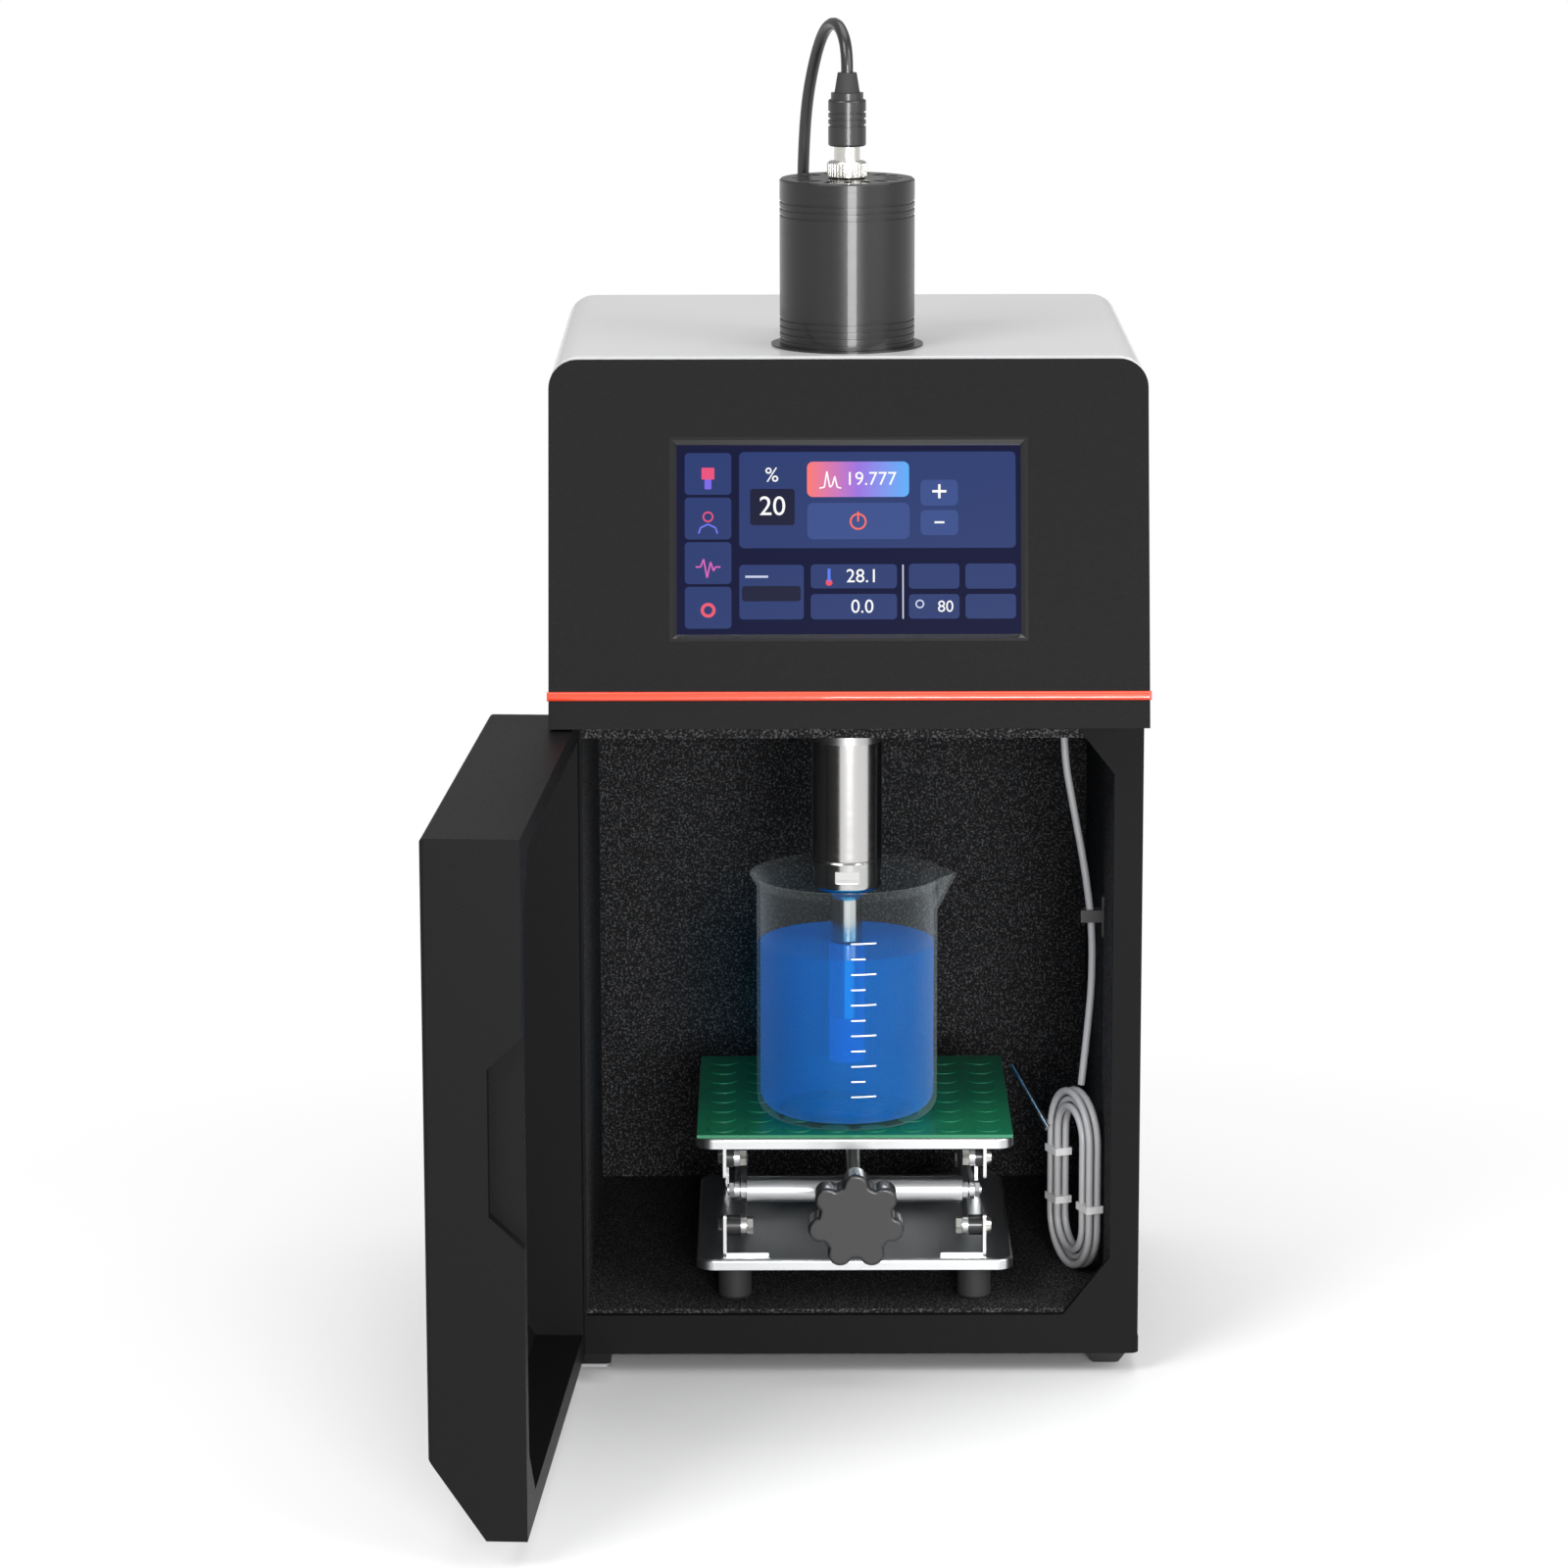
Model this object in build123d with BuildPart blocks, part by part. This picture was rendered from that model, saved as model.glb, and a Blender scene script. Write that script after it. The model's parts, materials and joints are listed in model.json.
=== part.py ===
from build123d import *
import os
from math import asin, atan2, cos, degrees, pi, radians, sin, sqrt, tan

# Probe sonicator: a generator head on a lined sound cabinet, with a lifting table under the horn.
# Millimetres. +Z is up, the front faces -Y, and the horn's axis stands at X = 0, Y = 0.
# Z = 0 is the bench, under the rubber feet.

os.makedirs("parts", exist_ok=True)

# Overall body
body_width = 274.0
head_front_y = -93.5
cabinet_front_y = -51.0
body_back_y = 199.0
foot_height = 10.0
tray_height = 7.0
tray_overlap = 0.6
cabinet_top_z = 320.0
head_height = 164.0
head_lean = 41.0
head_corner = 13.2
sheet = 2.0
touch_gap = 0.3

# Cabinet and lining
stile_width = 13.5
sill_top_z = 29.0
frame_depth = 4.0
ceiling_felt = 11.5
floor_felt_top_z = 31.0
back_felt = 12.0
corner_block_wide = 22.0
corner_block_tall = 28.0
foot_top = 25.0
foot_bottom = 13.0
foot_inset_x = 1.5
foot_inset_y = 12.0

# Door, hinged at the left and standing open at rest
door_open_angle = 93.3
door_hinge_inset = 6.5
door_end_reach = 5.5
door_side_gap = 1.0
door_bottom_z = 12.6
door_top_gap = 1.2
door_chamfer_deep = 24.5
door_chamfer_tall = 36.0
door_wall = 3.0
door_rim = 10.0
door_sill = 12.0
door_gusset = 24.0
door_edge_round = 2.0
grip_height = 92.0
grip_floor = 64.0
grip_reach = 15.0
grip_depth = 7.0
grip_center_z = 188.0
hinge_pin_r = 2.0
hinge_pin_fit = 0.08
hinge_pin_grip = 12.0
hinge_plate_thick = 1.6

# Head front
panel_thick = 10.0
bezel_width = 163.4
bezel_height = 93.2
bezel_center = 86.7
bezel_frame = 3.2
bezel_depth = 4.0
strip_height = 4.2
strip_center = 15.0
strip_proud = 1.6
strip_seat = 2.0
strip_overhang = 0.8

# Head inside and back
base_thick = 4.0
core_back_y = 165.0
horn_hole_r = 22.0
core_bore_r = 46.0
inlet_x = 88.0
inlet_z = 352.0
inlet_width = 28.0
inlet_height = 22.0
inlet_body_depth = 24.0
inlet_flange = 3.0
switch_x = 52.0
switch_width = 22.0
switch_height = 28.0
rocker_clear = 0.4
rocker_pin_r = 1.2
vent_count = 9
vent_length = 46.0
vent_width = 3.0
vent_pitch = 8.0
vent_x = -60.0
vent_z = 402.0

# Transducer and horn
can_r = 31.35
can_top_z = 561.5
can_bottom_z = 332.0
can_wall = 3.0
cap_thick = 4.0
cap_vents = 16
cap_vent_long = 8.0
cap_vent_wide = 3.6
groove_deep = 0.7
groove_tall = 1.3
groove_pitch = 3.1
grommet_out_r = 35.3
grommet_thick = 3.0
mount_flange_r = 44.0
mount_flange_thick = 8.0
horn_r = 16.7
collar_r = 17.2
collar_top_z = 305.0
collar_bottom_z = 296.8
joint_z = 240.0
coupling_bottom_z = 225.0
flat_width = 11.5
flat_height = 5.8
neck_r = 7.2
neck_fillet = 6.0
tip_step_z = 198.0
tip_r = 5.9
tip_z = 162.1
stack_r = 22.0
ring_count = 4
ring_thick = 6.0
back_mass_height = 40.0
stack_gap = 1.0

# Plug on top of the transducer
nut_r = 9.0
nut_bottom_z = 561.5
nut_height = 7.8
barrel_r = 6.0
barrel_height = 7.0
sleeve_r = 8.75
sleeve_height = 21.5
shoulder_r = 7.5
shoulder_height = 3.0
boot_r = 5.9
boot_tip_r = 4.4
boot_top_z = 610.0
cable_r = 2.8
gland_r = 7.0
gland_height = 9.0

# Lifting table
jack_x = 3.3
jack_front_y = -43.5
jack_size = 150.0
jack_plate = 1.5
jack_lip = 5.2
jack_corner = 8.0
jack_base_top_z = 54.2
jack_top_z = 113.5
pivot_inset = 17.0
base_pivot_rise = 12.1
arm_fold = 3.0
arm_width = 9.0
arm_thick = 2.5
arm_inner_x = 51.5
arm_gap = 0.6
bolt_r = 2.5
bolt_fit = 0.1
leg_x = 60.8
leg_thick = 1.5
leg_width = 22.0
leg_rise = 8.0
bracket_foot = 20.0
bolt_head_r = 4.8
bolt_head = 2.6
bolt_nut_r = 4.2
bolt_nut = 3.0
spacer_r = 4.9
side_gap = 0.25
tube_r = 6.2
screw_r = 3.5
screw_fit = 0.1
screw_tail = 12.0
knob_r = 22.8
knob_thick = 14.0
knob_front_y = -81.0
knob_lobes = 7
lobe_r = 5.8
knob_fillet = 1.5
hub_r = 8.0
hub_length = 12.0
jack_foot_r = 8.0
jack_foot_inset = 18.0
mat_thick = 1.5

# Beaker and sample
beaker_r = 43.0
beaker_height = 117.0
beaker_wall = 1.7
beaker_floor = 2.8
beaker_heel = 9.0
rim_flare = 3.2
rim_height = 5.0
spout_reach = 9.5
spout_drop = 17.0
spout_half_angle = 17.0
liquid_level = 84.0
horn_room = 1.2
lift_travel = 20.0

# Temperature probe and its lead
lead_r = 1.8
rod_r = 1.5
ferrule_r = 2.2
ferrule_length = 9.0
coil_center_x = 110.0
coil_center_y = 20.0
coil_turn = 68.0
coil_height = 90.0
coil_width = 48.0
coil_band = 11.5
coil_thick = 8.0
clip_y = 26.7
clip_z = 205.0
clip_wide = 9.0
clip_tall = 22.0
clip_thick = 1.0

# Values that follow
half_width = body_width / 2
head_top_z = cabinet_top_z + head_height
lean_angle = degrees(atan2(head_lean, head_height))
slope_length = sqrt(head_lean ** 2 + head_height ** 2)
opening_half = half_width - stile_width
cabinet_bottom_z = foot_height + tray_height
cabinet_depth = body_back_y - cabinet_front_y
cabinet_mid_y = (body_back_y + cabinet_front_y) / 2
face_plane = Plane(
    origin=(0, head_front_y, cabinet_top_z),
    x_dir=(1, 0, 0),
    z_dir=(0, -cos(radians(lean_angle)), sin(radians(lean_angle))),
)
panel_back = face_plane.offset(-panel_thick)
panel_back_y = head_front_y + panel_thick / cos(radians(lean_angle))


def save(piece, name):
    """Label a finished piece and write its STEP file."""
    piece.label = name
    export_step(piece, f"parts/{name}.step")


# Feet and base tray
foot_x = half_width - foot_inset_x - foot_top / 2
foot_ys = (cabinet_front_y + foot_inset_y + foot_top / 2, body_back_y - foot_inset_y - foot_top / 2)
foot_spots = [(side * foot_x, y) for side in (-1, 1) for y in foot_ys]
with BuildPart() as rubber_feet:
    for spot in foot_spots:
        with BuildSketch(Plane.XY) as foot_low:
            with Locations(spot):
                RectangleRounded(foot_bottom, foot_bottom, 2)
        with BuildSketch(Plane.XY.offset(foot_height)) as foot_high:
            with Locations(spot):
                RectangleRounded(foot_top, foot_top, 3)
        loft()
save(rubber_feet.part, "rubber_feet")

with BuildPart() as base_tray:
    with BuildSketch(Plane.XY.offset(foot_height)) as tray_outline:
        with Locations((0, cabinet_mid_y)):
            RectangleRounded(body_width + 2 * tray_overlap, cabinet_depth, 4)
    extrude(amount=tray_height)
save(base_tray.part, "base_tray")

# Cabinet shell: bent sheet with a front frame round the opening
with BuildPart() as cabinet_shell:
    with BuildSketch(Plane.XY.offset(cabinet_bottom_z)) as shell_outline:
        with Locations((0, cabinet_mid_y)):
            Rectangle(body_width, cabinet_depth)
    extrude(amount=cabinet_top_z - cabinet_bottom_z)
    with BuildSketch(Plane.XY.offset(cabinet_bottom_z + sheet)) as shell_room:
        with Locations((0, cabinet_mid_y + (frame_depth - sheet) / 2)):
            Rectangle(body_width - 2 * sheet, cabinet_depth - frame_depth - sheet)
    extrude(amount=cabinet_top_z - cabinet_bottom_z - 2 * sheet, mode=Mode.SUBTRACT)
    with BuildSketch(Plane.XZ.offset(-cabinet_front_y)) as shell_mouth:
        with Locations((0, (sill_top_z + cabinet_top_z) / 2)):
            Rectangle(2 * opening_half, cabinet_top_z - sill_top_z)
    extrude(amount=-frame_depth, mode=Mode.SUBTRACT)
    with BuildSketch(Plane.XY.offset(cabinet_top_z)) as shell_horn_hole:
        Circle(horn_hole_r)
    extrude(amount=-sheet, mode=Mode.SUBTRACT)
save(cabinet_shell.part, "cabinet_shell")

# Felt lining, one slab for each wall
lining_front_y = cabinet_front_y + frame_depth
lining_back_y = body_back_y - sheet
lining_floor_z = cabinet_bottom_z + sheet
lining_roof_z = cabinet_top_z - sheet
lining_half = half_width - sheet
lining_depth = lining_back_y - lining_front_y
lining_mid_y = (lining_front_y + lining_back_y) / 2
with BuildPart() as felt_floor:
    with BuildSketch(Plane.XY.offset(lining_floor_z)) as floor_outline:
        with Locations((0, lining_mid_y)):
            Rectangle(2 * lining_half, lining_depth)
    extrude(amount=floor_felt_top_z - lining_floor_z)
save(felt_floor.part, "felt_floor")

with BuildPart() as felt_ceiling:
    with BuildSketch(Plane.XY.offset(lining_roof_z - ceiling_felt)) as ceiling_outline:
        with Locations((0, lining_mid_y)):
            Rectangle(2 * lining_half, lining_depth)
        Circle(horn_hole_r, mode=Mode.SUBTRACT)
    extrude(amount=ceiling_felt)
save(felt_ceiling.part, "felt_ceiling")

with BuildPart() as felt_back:
    with BuildSketch(Plane.XY.offset(floor_felt_top_z)) as back_outline:
        with Locations((0, lining_back_y - back_felt / 2)):
            Rectangle(2 * lining_half, back_felt)
    extrude(amount=lining_roof_z - ceiling_felt - floor_felt_top_z)
save(felt_back.part, "felt_back")

with BuildPart() as felt_sides:
    with BuildSketch(Plane.XY.offset(floor_felt_top_z)) as side_outline:
        with Locations((0, lining_mid_y - back_felt / 2)):
            Rectangle(2 * lining_half, lining_depth - back_felt)
            Rectangle(2 * opening_half, lining_depth - back_felt, mode=Mode.SUBTRACT)
    extrude(amount=lining_roof_z - ceiling_felt - floor_felt_top_z)
save(felt_sides.part, "felt_sides")

# Corner blocks on the latch side of the opening, standing in the frame's depth
with BuildPart() as corner_blocks:
    for level_z, rise in ((cabinet_top_z - sheet, -1), (sill_top_z, 1)):
        with BuildSketch(Plane.XZ.offset(-cabinet_front_y)) as block_outline:
            with BuildLine() as block_line:
                Polyline(
                    (opening_half, level_z),
                    (opening_half - corner_block_wide, level_z),
                    (opening_half, level_z + rise * corner_block_tall),
                    close=True,
                )
            make_face()
        extrude(amount=-frame_depth)
save(corner_blocks.part, "corner_blocks")

# Door, drawn closed in its own plane, which the open angle turns about the hinge
hinge_x = -half_width + door_side_gap + door_end_reach
hinge_y = cabinet_front_y - door_hinge_inset
door_far_x = 2 * half_width - 2 * door_side_gap - door_end_reach
door_top_z = cabinet_top_z - door_top_gap
door_face_y = head_front_y - hinge_y
door_rim_y = door_hinge_inset - touch_gap
open_turn = radians(door_open_angle)
door_plane = Plane(origin=(hinge_x, hinge_y, 0), x_dir=(cos(open_turn), -sin(open_turn), 0), z_dir=(0, 0, 1))
door_side = Plane(
    origin=door_plane.from_local_coords(Vector(-door_end_reach, 0, 0)),
    x_dir=door_plane.y_dir,
    z_dir=door_plane.x_dir,
)
door_back = Plane(
    origin=door_plane.from_local_coords(Vector(0, door_rim_y, 0)),
    x_dir=door_plane.x_dir,
    z_dir=-door_plane.y_dir,
)
cut_line = door_wall / sin(atan2(door_chamfer_tall, door_chamfer_deep))
chamfer_slope = door_chamfer_deep / door_chamfer_tall
cavity_face_y = door_face_y + door_wall
cavity_low_y = door_face_y + door_chamfer_deep + cut_line - chamfer_slope * door_sill
cavity_knee_z = door_bottom_z + (door_chamfer_deep + cut_line - door_wall) / chamfer_slope
with BuildPart() as door_shell:
    with BuildSketch(door_side) as door_section:
        with BuildLine() as door_line:
            Polyline(
                (door_face_y, door_top_z),
                (door_rim_y, door_top_z),
                (door_rim_y, door_bottom_z),
                (door_face_y + door_chamfer_deep, door_bottom_z),
                (door_face_y, door_bottom_z + door_chamfer_tall),
                close=True,
            )
        make_face()
    extrude(amount=door_far_x + door_end_reach)
    hinge_edge = door_shell.edges().filter_by(Axis.Z).sort_by_distance(
        door_plane.from_local_coords(Vector(-door_end_reach, door_rim_y, door_top_z / 2)))[0]
    fillet(hinge_edge, door_end_reach)
    outer_face = door_shell.faces().filter_by(lambda f: f.normal_at().dot(door_plane.y_dir) < -0.99)
    fillet(outer_face.edges(), door_edge_round)
    with BuildSketch(door_back) as tray_mouth:
        with BuildLine() as mouth_line:
            Polyline(
                (door_rim, door_bottom_z + door_sill),
                (door_far_x - door_rim - door_gusset, door_bottom_z + door_sill),
                (door_far_x - door_rim, door_bottom_z + door_sill + door_gusset),
                (door_far_x - door_rim, door_top_z - door_rim - door_gusset),
                (door_far_x - door_rim - door_gusset, door_top_z - door_rim),
                (door_rim, door_top_z - door_rim),
                close=True,
            )
        make_face()
    extrude(amount=door_rim_y - cavity_low_y, mode=Mode.SUBTRACT)
    with BuildSketch(door_side.offset(door_end_reach + door_rim)) as deep_section:
        with BuildLine() as deep_line:
            Polyline(
                (cavity_face_y, door_top_z - door_rim - door_gusset),
                (cavity_low_y, door_top_z - door_rim - door_gusset),
                (cavity_low_y, door_bottom_z + door_sill + door_gusset),
                (cavity_low_y, door_bottom_z + door_sill),
                (cavity_face_y, cavity_knee_z),
                close=True,
            )
        make_face()
    extrude(amount=door_far_x - 2 * door_rim - door_gusset, mode=Mode.SUBTRACT)
    with BuildSketch(door_side.offset(door_end_reach + door_far_x)) as grip_section:
        with BuildLine() as grip_line:
            Polyline(
                (door_rim_y, grip_center_z + grip_height / 2),
                (door_rim_y - grip_reach, grip_center_z + grip_floor / 2),
                (door_rim_y - grip_reach, grip_center_z - grip_floor / 2),
                (door_rim_y, grip_center_z - grip_height / 2),
                close=True,
            )
        make_face()
    extrude(amount=-grip_depth, mode=Mode.SUBTRACT)
    for hole_z, hole_rise in ((door_bottom_z, 1), (door_top_z, -1)):
        with BuildSketch(door_plane.offset(hole_z)) as pin_hole:
            Circle(hinge_pin_r + hinge_pin_fit)
        extrude(amount=hole_rise * (hinge_pin_grip + touch_gap), mode=Mode.SUBTRACT)
save(door_shell.part, "door_shell")

# Hinge pins: one hangs from the head's underside, one stands on a plate under the tray
with BuildPart() as upper_hinge_pin:
    with BuildSketch(Plane.XY.offset(door_top_z - hinge_pin_grip)) as upper_pin_end:
        with Locations((hinge_x, hinge_y)):
            Circle(hinge_pin_r)
    extrude(amount=door_top_gap + hinge_pin_grip + base_thick)
save(upper_hinge_pin.part, "upper_hinge_pin")

with BuildPart() as lower_hinge_bracket:
    with BuildSketch(Plane.XY.offset(foot_height - hinge_plate_thick)) as bracket_outline:
        with Locations((-half_width + foot_top / 2, cabinet_front_y - door_hinge_inset / 2)):
            RectangleRounded(foot_top, 2 * foot_inset_y - touch_gap, 3)
    extrude(amount=hinge_plate_thick)
    with BuildSketch(Plane.XY.offset(foot_height)) as lower_pin_end:
        with Locations((hinge_x, hinge_y)):
            Circle(hinge_pin_r)
    extrude(amount=door_bottom_z + hinge_pin_grip - foot_height)
    with BuildSketch(Plane.XY.offset(foot_height)) as pin_shoulder:
        with Locations((hinge_x, hinge_y)):
            Circle(2 * hinge_pin_r)
    extrude(amount=door_bottom_z - foot_height - touch_gap)
save(lower_hinge_bracket.part, "lower_hinge_bracket")

# Front panel of the head, a leaning slab with the screen's window and the strip's groove
with BuildPart() as front_panel:
    with BuildSketch(face_plane) as panel_outline:
        with Locations((0, slope_length / 2)):
            Rectangle(body_width, slope_length)
        fillet(panel_outline.vertices().group_by(Axis.Y)[-1], head_corner)
        with Locations((0, -head_corner / 2)):
            Rectangle(body_width, head_corner)
    extrude(amount=-panel_thick)
    split(bisect_by=Plane.XY.offset(cabinet_top_z), keep=Keep.TOP)
    with BuildSketch(face_plane) as panel_window:
        with Locations((0, bezel_center)):
            Rectangle(bezel_width, bezel_height)
    extrude(amount=-panel_thick, mode=Mode.SUBTRACT)
    with BuildSketch(face_plane) as strip_groove:
        with Locations((0, strip_center)):
            Rectangle(body_width, strip_height)
    extrude(amount=-strip_seat, mode=Mode.SUBTRACT)
save(front_panel.part, "front_panel")

with BuildPart() as accent_strip:
    with BuildSketch(face_plane.offset(-strip_seat)) as strip_outline:
        with Locations((0, strip_center)):
            Rectangle(body_width + 2 * strip_overhang, strip_height)
    extrude(amount=strip_seat + strip_proud)
    strip_front = accent_strip.faces().sort_by(Axis(face_plane.origin, face_plane.z_dir))[-1]
    fillet(strip_front.edges(), 0.9 * strip_proud)
save(accent_strip.part, "accent_strip")

with BuildPart() as screen_bezel:
    with BuildSketch(face_plane.offset(-bezel_depth)) as bezel_outline:
        with Locations((0, bezel_center)):
            Rectangle(bezel_width, bezel_height)
            Rectangle(bezel_width - 2 * bezel_frame, bezel_height - 2 * bezel_frame, mode=Mode.SUBTRACT)
    extrude(amount=bezel_depth)
    bezel_front = screen_bezel.faces().sort_by(Axis(face_plane.origin, face_plane.z_dir))[-1]
    chamfer(bezel_front.inner_wires()[0].edges(), 0.6 * bezel_frame)
save(screen_bezel.part, "screen_bezel")

with BuildPart() as touch_screen:
    with BuildSketch(face_plane.offset(-bezel_depth)) as glass_outline:
        with Locations((0, bezel_center)):
            Rectangle(bezel_width, bezel_height)
    extrude(amount=-(panel_thick - bezel_depth))
save(touch_screen.part, "touch_screen")


def head_section(width, height):
    """Draw the head's outline, a rectangle with two rounded top corners, standing on the cabinet."""
    with BuildSketch(Plane.XZ.offset(-head_front_y), mode=Mode.PRIVATE) as section:
        with Locations((0, cabinet_top_z + height / 2)):
            Rectangle(width, height)
        fillet(section.vertices().group_by(Axis.Y)[-1], head_corner - (body_width - width) / 2)
    return section.sketch


# Pale cover, bent over the top and both sides behind the front panel
with BuildPart() as top_cover:
    extrude(head_section(body_width, head_height), amount=body_back_y - head_front_y, dir=(0, 1, 0))
    extrude(head_section(body_width - 2 * sheet, head_height - sheet), amount=body_back_y - head_front_y,
            dir=(0, 1, 0), mode=Mode.SUBTRACT)
    split(bisect_by=panel_back, keep=Keep.BOTTOM)
    with BuildSketch(Plane.XY.offset(head_top_z)) as cover_hole:
        Circle(grommet_out_r)
    extrude(amount=-sheet, mode=Mode.SUBTRACT)
save(top_cover.part, "top_cover")

with BuildPart() as head_base:
    with BuildSketch(Plane.XY.offset(cabinet_top_z)) as base_outline:
        with Locations((0, (head_front_y + body_back_y - sheet) / 2)):
            Rectangle(body_width - 2 * sheet, body_back_y - sheet - head_front_y)
        Circle(horn_hole_r, mode=Mode.SUBTRACT)
        with Locations((hinge_x, hinge_y)):
            Circle(hinge_pin_r, mode=Mode.SUBTRACT)
    extrude(amount=base_thick)
    split(bisect_by=panel_back, keep=Keep.BOTTOM)
save(head_base.part, "head_base")

with BuildPart() as head_core:
    extrude(head_section(body_width - 2 * sheet, head_height - sheet), amount=core_back_y - head_front_y,
            dir=(0, 1, 0))
    split(bisect_by=panel_back, keep=Keep.BOTTOM)
    split(bisect_by=Plane.XY.offset(cabinet_top_z + base_thick), keep=Keep.TOP)
    with BuildSketch(Plane.XY.offset(cabinet_top_z + base_thick)) as core_bore:
        Circle(core_bore_r)
    extrude(amount=head_height - base_thick - sheet, mode=Mode.SUBTRACT)
    with BuildSketch(Plane.XY.offset(head_top_z - sheet)) as core_gland_room:
        with Locations((-19.5, 51)):
            Circle(gland_r + 1)
    extrude(amount=-gland_height, mode=Mode.SUBTRACT)
save(head_core.part, "head_core")

# Back panel with air slots, mains inlet and power switch
back_plane = Plane(origin=(0, body_back_y, 0), x_dir=(1, 0, 0), z_dir=(0, -1, 0))
with BuildPart() as back_panel:
    extrude(head_section(body_width - 2 * sheet, head_height - sheet), amount=body_back_y - head_front_y,
            dir=(0, 1, 0))
    split(bisect_by=Plane.XZ.offset(-(body_back_y - sheet)), keep=Keep.BOTTOM)
    with BuildSketch(back_plane) as back_cuts:
        with Locations((inlet_x, inlet_z)):
            Rectangle(inlet_width, inlet_height)
        with Locations((switch_x, inlet_z)):
            Rectangle(switch_width, switch_height)
        with Locations((vent_x, vent_z)):
            with GridLocations(0, vent_pitch, 1, vent_count):
                SlotOverall(vent_length, vent_width)
    extrude(amount=sheet, mode=Mode.SUBTRACT)
save(back_panel.part, "back_panel")

with BuildPart() as mains_inlet:
    with BuildSketch(back_plane.offset(-inlet_flange)) as inlet_face:
        with Locations((inlet_x, inlet_z)):
            RectangleRounded(inlet_width + 2 * inlet_flange, inlet_height + 2 * inlet_flange, 2)
    extrude(amount=inlet_flange)
    with BuildSketch(back_plane) as inlet_body:
        with Locations((inlet_x, inlet_z)):
            Rectangle(inlet_width, inlet_height)
    extrude(amount=inlet_body_depth)
    with BuildSketch(back_plane.offset(-inlet_flange)) as inlet_socket:
        with Locations((inlet_x, inlet_z)):
            Rectangle(inlet_width - 3, inlet_height - 3)
        chamfer(inlet_socket.vertices().group_by(Axis.Y)[0], 5)
    extrude(amount=inlet_body_depth - 2, mode=Mode.SUBTRACT)
save(mains_inlet.part, "mains_inlet")

with BuildPart() as switch_frame:
    with BuildSketch(back_plane.offset(-inlet_flange)) as frame_face:
        with Locations((switch_x, inlet_z)):
            RectangleRounded(switch_width + 4, switch_height + 4, 2)
            Rectangle(switch_width - 4, switch_height - 4, mode=Mode.SUBTRACT)
    extrude(amount=inlet_flange)
    with BuildSketch(back_plane) as frame_body:
        with Locations((switch_x, inlet_z)):
            Rectangle(switch_width, switch_height)
            Rectangle(switch_width - 4, switch_height - 4, mode=Mode.SUBTRACT)
    extrude(amount=inlet_body_depth - 2)
    with BuildSketch(back_plane.offset(inlet_body_depth - 2)) as frame_floor:
        with Locations((switch_x, inlet_z)):
            Rectangle(switch_width, switch_height)
    extrude(amount=2)
    with BuildSketch(Plane.YZ.offset(switch_x)) as rocker_pin:
        with Locations((body_back_y - 1, inlet_z)):
            Circle(rocker_pin_r)
    extrude(amount=(switch_width - 4) / 2, both=True)
save(switch_frame.part, "switch_frame")

rocker_half = (switch_height - 4) / 2 - 2 * rocker_clear
with BuildPart() as switch_rocker:
    with BuildSketch(Plane.YZ.offset(switch_x)) as rocker_side:
        with BuildLine() as rocker_line:
            Polyline(
                (body_back_y + inlet_flange - 1, inlet_z),
                (body_back_y + inlet_flange + 1.2, inlet_z + rocker_half),
                (body_back_y - 5, inlet_z + rocker_half - 1.4),
                (body_back_y - 7, inlet_z),
                (body_back_y - 5, inlet_z - rocker_half + 1.4),
                (body_back_y + inlet_flange + 1.2, inlet_z - rocker_half),
                close=True,
            )
        make_face()
        with Locations((body_back_y - 1, inlet_z)):
            Circle(rocker_pin_r + bolt_fit, mode=Mode.SUBTRACT)
    extrude(amount=(switch_width - 4) / 2 - rocker_clear, both=True)
save(switch_rocker.part, "switch_rocker")

# Transducer can with turned grooves, its vented cap and what stands inside it
groove_zs = [can_top_z - 11 - i * groove_pitch for i in range(3)]
groove_zs += [head_top_z + 3 + i * groove_pitch for i in range(4)]
with BuildPart() as transducer_can:
    with BuildSketch(Plane.XY.offset(can_bottom_z)) as can_outline:
        Circle(can_r)
        Circle(can_r - can_wall, mode=Mode.SUBTRACT)
    extrude(amount=can_top_z - cap_thick - can_bottom_z)
    for groove_z in groove_zs:
        with BuildSketch(Plane.XY.offset(groove_z)) as groove_ring:
            Circle(can_r)
            Circle(can_r - groove_deep, mode=Mode.SUBTRACT)
        extrude(amount=groove_tall, mode=Mode.SUBTRACT)
save(transducer_can.part, "transducer_can")

with BuildPart() as transducer_cap:
    with BuildSketch(Plane.XY.offset(can_top_z - cap_thick)) as cap_outline:
        Circle(can_r)
        with PolarLocations(can_r - 2.2 * cap_vent_long / 2 - 1, cap_vents):
            SlotOverall(cap_vent_long, cap_vent_wide, mode=Mode.SUBTRACT)
    extrude(amount=cap_thick)
    chamfer(transducer_cap.faces().sort_by(Axis.Z)[-1].outer_wire().edges(), 0.8)
save(transducer_cap.part, "transducer_cap")

with BuildPart() as cover_grommet:
    with BuildSketch(Plane.XY.offset(head_top_z - sheet)) as grommet_outline:
        Circle(grommet_out_r)
        Circle(can_r, mode=Mode.SUBTRACT)
    extrude(amount=grommet_thick)
save(cover_grommet.part, "cover_grommet")

flange_z = can_bottom_z - mount_flange_thick
with BuildPart() as transducer_flange:
    with BuildSketch(Plane.XY.offset(flange_z)) as flange_outline:
        Circle(mount_flange_r)
        Circle(horn_r, mode=Mode.SUBTRACT)
    extrude(amount=mount_flange_thick)
    with BuildSketch(Plane.XY.offset(can_bottom_z)) as flange_screws:
        with PolarLocations((mount_flange_r + can_r) / 2, 4, start_angle=45):
            RegularPolygon(3.6, 6)
    extrude(amount=3)
save(transducer_flange.part, "transducer_flange")

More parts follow.
